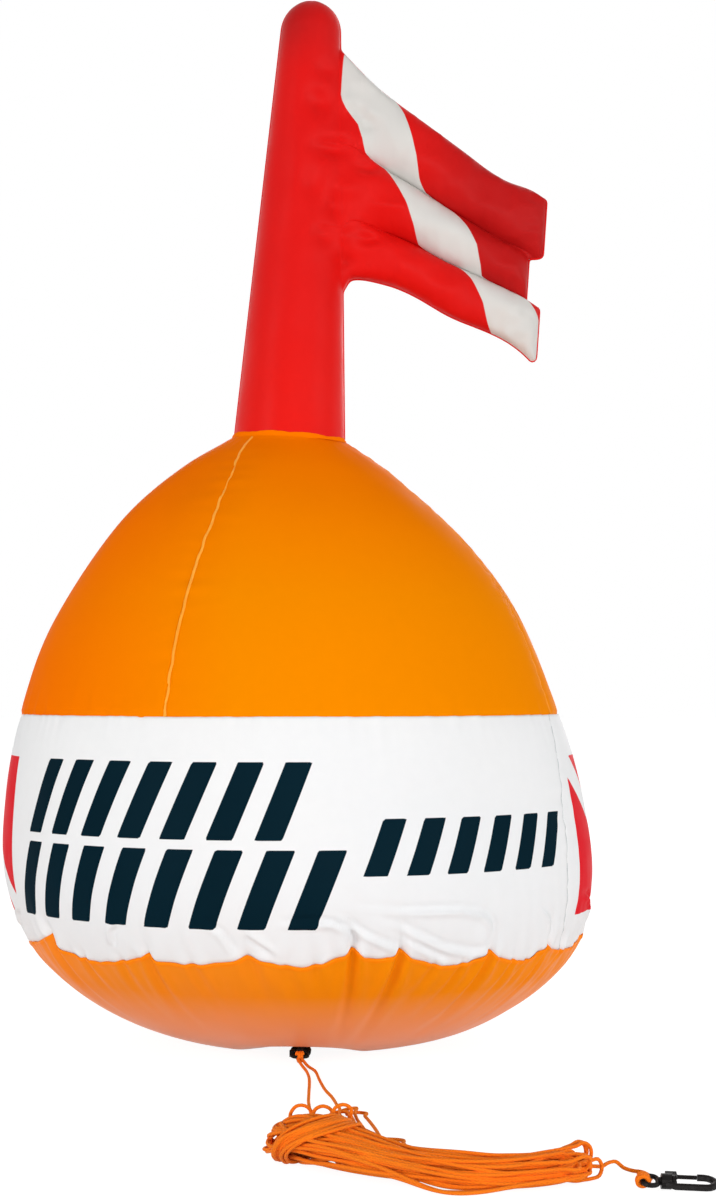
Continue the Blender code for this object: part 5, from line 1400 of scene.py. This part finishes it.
class BUOY_OT_line(bpy.types.Operator):
    """Braided line: two leads, loose loops, hank, tail and knots"""

    bl_idname = "buoy.line"
    bl_label = "Line"

    def execute(self, context):
        sizes = context.scene.buoy_sizes
        finish = made("braided_line", cord_finish)
        step = sizes.cord_step
        loose = smooth_curve(LEAD_LEFT_ROUTE + LOOSE_LOOPS, 16)
        loose = settle(even_points(loose, 0.5 * step), CORD_DIAMETER)
        runs = smoothed(even_points(hank_runs(sizes), step), 2)
        tail = smooth_curve(TAIL_ROUTE, 12)
        joined = np.concatenate([loose, fold(loose, runs), runs, fold(runs, tail), tail])
        path = opened(even_points(smoothed(joined, 1), step))
        line = tube("line", smooth_curve(path, 3), 0.5 * CORD_DIAMETER)
        dress(line, finish, "root", "orange_cord", "cord_lead_left", "cord_hank_loops", "cord_hank",
              "cord_tail")

        right = even_points(smooth_curve(LEAD_RIGHT_ROUTE, 12), 0.5 * step)
        lead = tube("line_right_leg", right, 0.5 * CORD_DIAMETER)
        dress(lead, finish, "root", "orange_cord", "cord_lead_right")

        for name, matrix in (("knot_upper", upper_hook_matrix()), ("knot_lower", lower_hook_matrix())):
            turns = bar_turns(matrix, KNOT_TURNS, KNOT_RADIUS, KNOT_REACH)
            wrap = tube(f"{name}_turns", turns, KNOT_LINE_RADIUS)
            dress(wrap, finish, "root", "orange_cord", name)
        stop = tube("leg_knot", leg_knot_turns(right[-1]), LEG_KNOT_LINE_RADIUS)
        dress(stop, finish, "root", "orange_cord")
        return {"FINISHED"}


def foot_angle(angle, sway):
    """Angle where the foot of a swaying column lies."""
    return angle + (sway(FOOT_LENGTH + 0.003, angle) if sway else 0.0)


def panel(name, low, high, first, last, step, stand, attributes=None, sway=None):
    """Sheet between two lengths of the profile, which may change with the angle; sway slants its columns."""
    columns = max(int(abs(last - first) * MEAN_RADIUS / step), 8)
    angle = np.linspace(first, last, columns + 1)[None, :]
    bottom = low(foot_angle(angle, sway)) if callable(low) else np.full(angle.shape, low)
    top = high(angle) if callable(high) else np.full(angle.shape, high)
    rows = max(int(float((top - bottom).max()) / step), 8)
    length = bottom + (top - bottom) * np.linspace(0.0, 1.0, rows + 1)[:, None]
    angle = np.broadcast_to(angle, length.shape)
    if sway:
        angle = angle + sway(length, angle)
    rise = body_relief(length, angle) + stand(length, angle)
    layers = {key: place(length, angle) for key, place in (attributes or {}).items()}
    return sheet_object(name, skin(length, angle, rise), layers)


def upright_bead(name, low, high, seam, width, height, sway, step=0.002):
    """Raised weld along an upright seam."""
    start = float(low(np.array([[foot_angle(seam, sway)]]))[0, 0]) if callable(low) else low
    rows = max(int((high - start) / step), 8)
    length = np.linspace(start, high, rows + 1)[:, None]
    t = np.linspace(-1.0, 1.0, 9)[None, :]
    wobble = 0.00025 * ripples(length * 60.0, 0.0 * t, int(1000.0 * abs(seam)) + 3)
    angle = seam + (t * 0.5 * width + wobble) / radius_at(length) + sway(length, seam)
    length, angle = np.broadcast_arrays(length, angle)
    rise = height * (1.0 + 0.25 * ripples(length * 120.0, t * 0.3, 17)) * np.sqrt(1.0 - t**2) - 0.0002
    return sheet_object(name, skin(length, angle, body_relief(length, angle) + rise))


def tucked(inside):
    """Share by which the edge of a sheet has slipped under the next, from how far inside it lies."""
    return ease((inside + 0.5 * TUCK_RUN) / TUCK_RUN)


class BUOY_OT_gores(bpy.types.Operator):
    """Four orange gores of the dome and the welds between them"""

    bl_idname = "buoy.gores"
    bl_label = "Gores"

    def execute(self, context):
        sizes = context.scene.buoy_sizes
        finish = made("orange_film", orange_finish)
        weld = made("orange_weld", seam_finish)
        low = HEAD_LENGTH - sizes.lap

        def tuck(length, angle):
            """Foot of the gores, which lies under the band's edge."""
            return -0.0009 * tucked(HEAD_LENGTH - length)

        for name, k in (("front", 0), ("right", 1), ("rear", 2), ("left", 3)):
            first = GORE_SEAMS[0] + k * 0.5 * math.pi
            item = panel(f"gore_{name}", low, CROWN_LENGTH + CROWN_LAP, first, first + 0.5 * math.pi,
                         sizes.grid_body * DOME_MESH, tuck, sway=gore_sway)
            thicken(item, sizes.sheet)
            dress(item, finish, "root", "orange_sheet", f"upper_gore_{name}")
            bead = upright_bead(f"gore_weld_{name}", HEAD_LENGTH, CROWN_LENGTH, first, sizes.seam_width,
                                sizes.seam_height, gore_sway)
            dress(bead, weld, "root", "orange_sheet")
        return {"FINISHED"}


def bars_ink(length, angle):
    """Dark bars in rows on the front of the band."""
    height = height_at(length)
    u = turn_gap(angle, 0.0) * PRINT_RADIUS
    ink = np.full(height.shape, -0.01)
    for first, last, low, high, count in BAR_ROWS:
        start, end = math.radians(first) * PRINT_RADIUS, math.radians(last) * PRINT_RADIUS
        ink = np.maximum(ink, bar_row(u, height, start, end, low, high, count))
    return ink


def panels_ink(length, angle):
    """Red panels with a bare diagonal on the two sides of the band."""
    height = height_at(length)
    ink = np.full(height.shape, -0.01)
    half = math.radians(PANEL_HALF_ANGLE) * PRINT_RADIUS
    slope = (PANEL_HEAD - PANEL_FOOT) / (2.0 * half)
    for middle in PANEL_MIDDLES:
        u = turn_gap(angle, math.radians(middle)) * PRINT_RADIUS
        box = box_ink(u, height, (-half, PANEL_FOOT), (half, PANEL_HEAD))
        across = np.abs(height - 0.5 * (PANEL_FOOT + PANEL_HEAD) + slope * u) / math.hypot(1.0, slope)
        ink = np.maximum(ink, np.minimum(box, across - DIAGONAL_HALF_WIDTH))
    return ink


class BUOY_OT_band(bpy.types.Operator):
    """White band with its printed bars and panels, and its closing welds"""

    bl_idname = "buoy.band"
    bl_label = "Band"

    def execute(self, context):
        sizes = context.scene.buoy_sizes
        finish = made("white_film", band_finish)
        weld = made("white_weld", closing_finish)

        def lap(length, angle):
            """Band over the gores, with its foot under the bottom's rim."""
            return 0.0002 - 0.0011 * tucked(foot_seam(angle) - length)

        def foot(angle):
            """Lower edge of the band's strips."""
            return foot_seam(angle) - sizes.lap

        inks = {"ink_dark": bars_ink, "ink_red": panels_ink}
        for name, first in (("front", BAND_SEAMS[1] - 2.0 * math.pi), ("rear", BAND_SEAMS[0])):
            item = panel(f"band_sheet_{name}", foot, HEAD_LENGTH, first, first + math.pi,
                         sizes.grid_body * BAND_MESH, lap, inks, band_sway)
            thicken(item, sizes.sheet)
            dress(item, finish, "root", "white_sheet", f"band_{name}")
            bead = upright_bead(f"band_weld_{name}", foot_seam, HEAD_LENGTH, first, CLOSING_WELD_WIDTH,
                                CLOSING_WELD_HEIGHT, band_sway)
            dress(bead, weld, "root", "white_sheet")
        return {"FINISHED"}


class BUOY_OT_bottom(bpy.types.Operator):
    """Orange bottom, gathered into the foot of the band"""

    bl_idname = "buoy.bottom"
    bl_label = "Bottom"

    def execute(self, context):
        sizes = context.scene.buoy_sizes
        finish = made("orange_bottom_film", bottom_finish)

        def inside(length, angle):
            """How far a place of the bottom lies from its gathered edge."""
            return foot_seam(angle) - length

        def rim(length, angle):
            """Bottom's sheet with a thin bead along its edge."""
            return 0.0003 + 0.0005 * bell(inside(length, angle) - 0.0012, 0.0009)

        item = panel("bottom_sheet", 0.0, foot_seam, -math.pi, math.pi, sizes.grid_body * BOTTOM_MESH, rim,
                     {"rim": inside})
        merge = item.modifiers.new("close", "WELD")
        merge.merge_threshold = 0.00001
        thicken(item, sizes.sheet)
        dress(item, finish, "root", "orange_sheet", "bottom_panel")
        return {"FINISHED"}


class BUOY_OT_collar(bpy.types.Operator):
    """Orange collar with its wavy lip round the foot of the mast"""

    bl_idname = "buoy.collar"
    bl_label = "Collar"

    def execute(self, context):
        sizes = context.scene.buoy_sizes
        finish = made("orange_film", orange_finish)
        outer = smooth_curve([*COLLAR_PROFILE, (COLLAR_LIP_OUTER, sizes.lip_height)], 5)
        inner = [(COLLAR_LIP_INNER, sizes.lip_height), (COLLAR_FOOT_INNER, 0.0)]
        profile = np.concatenate([outer, inner])
        angle = np.linspace(0.0, 2.0 * math.pi, 181)[None, :-1]
        radius, height = profile[:, :1], profile[:, 1:]
        wave = 0.0005 * ripples(angle * 1.4, 0.0 * angle, 13)
        wave = wave + 0.00012 * ripples(angle * 6.0, 0.0 * angle, 14)
        up = ease(height / sizes.lip_height)
        radius = radius + 0.00015 * ripples(angle * 3.0, height * 40.0, 15) * up
        across = trimmed(radius * np.sin(angle), radius)
        points = np.stack([across, -radius * np.cos(angle), height + wave * up], axis=-1)
        points = carried(mast_matrix(), points)
        item = sheet_object("collar", points, wrap=True)
        dress(item, finish, "root", "orange_sheet", "mast_collar")
        return {"FINISHED"}


class BUOY_OT_flag(bpy.types.Operator):
    """Two red films of the mast and flag, with the pale stripe and the weld round their rim"""

    bl_idname = "buoy.flag"
    bl_label = "Mast and flag"

    def execute(self, context):
        sizes = context.scene.buoy_sizes
        finish = made("red_film", flag_finish)
        for name, side in (("front", -1.0), ("rear", 1.0)):
            points, faces, layers = mast_points(sizes, side)
            item = mesh_object(f"mast_flag_film_{name}", carried(mast_matrix(), points), faces, layers)
            dress(item, finish, "root", "red_sheet", f"mast_flag_{name}")
        rim = even_points(carried(mast_matrix(), rim_path(sizes)), 0.0015)
        weld = tube("mast_flag_weld", smoothed(rim, 1), sizes.rim_radius, 6)
        set_values(weld, "stripe", -0.01)
        dress(weld, finish, "root", "red_sheet")
        return {"FINISHED"}


class BUOY_OT_fittings(bpy.types.Operator):
    """Finishes of the valve, hooks, patch and strap loop"""

    bl_idname = "buoy.fittings"
    bl_label = "Fittings"

    def execute(self, context):
        finishes = {
            "soft_clear": made("milky_film", clear_finish),
            "black_acetal": made("moulded_acetal", acetal_finish),
            "black_webbing": made("woven_strap", webbing_finish),
            "orange_sheet": made("orange_film", orange_finish),
        }
        for part in frame["record"]["subparts"]:
            item = frame["nodes"][part["node"]]
            if item.hide_render or part["material_slot"] not in finishes:
                continue
            item.data.materials.clear()
            item.data.materials.append(finishes[part["material_slot"]])
        return {"FINISHED"}


class BUOY_PT_panel(bpy.types.Panel):
    """Steps, sizes and colours of the signal buoy"""

    bl_label = "Signal buoy"
    bl_idname = "BUOY_PT_panel"
    bl_space_type = "VIEW_3D"
    bl_region_type = "UI"
    bl_category = "Buoy"

    def draw(self, context):
        layout = self.layout
        for operator in STEPS:
            layout.operator(operator.bl_idname)
        for group in (context.scene.buoy_sizes, context.scene.buoy_colours):
            for key in group.__annotations__:
                layout.prop(group, key)


STEPS = (
    BUOY_OT_stage, BUOY_OT_line, BUOY_OT_gores, BUOY_OT_band, BUOY_OT_bottom, BUOY_OT_collar,
    BUOY_OT_flag, BUOY_OT_fittings,
)
CLASSES = (BuoySizes, BuoyColours, *STEPS, BUOY_PT_panel)


def register():
    """Registers the classes and the panel's sizes and colours."""
    for item in CLASSES:
        bpy.utils.register_class(item)
    bpy.types.Scene.buoy_sizes = PointerProperty(type=BuoySizes)
    bpy.types.Scene.buoy_colours = PointerProperty(type=BuoyColours)


def unregister():
    """Takes back what register made."""
    del bpy.types.Scene.buoy_colours
    del bpy.types.Scene.buoy_sizes
    for item in reversed(CLASSES):
        bpy.utils.unregister_class(item)


def main():
    """Builds every piece in order."""
    register()
    bpy.ops.buoy.stage()
    bpy.ops.buoy.line()
    bpy.ops.buoy.gores()
    bpy.ops.buoy.band()
    bpy.ops.buoy.bottom()
    bpy.ops.buoy.collar()
    bpy.ops.buoy.flag()
    bpy.ops.buoy.fittings()


if __name__ == "__main__":
    main()
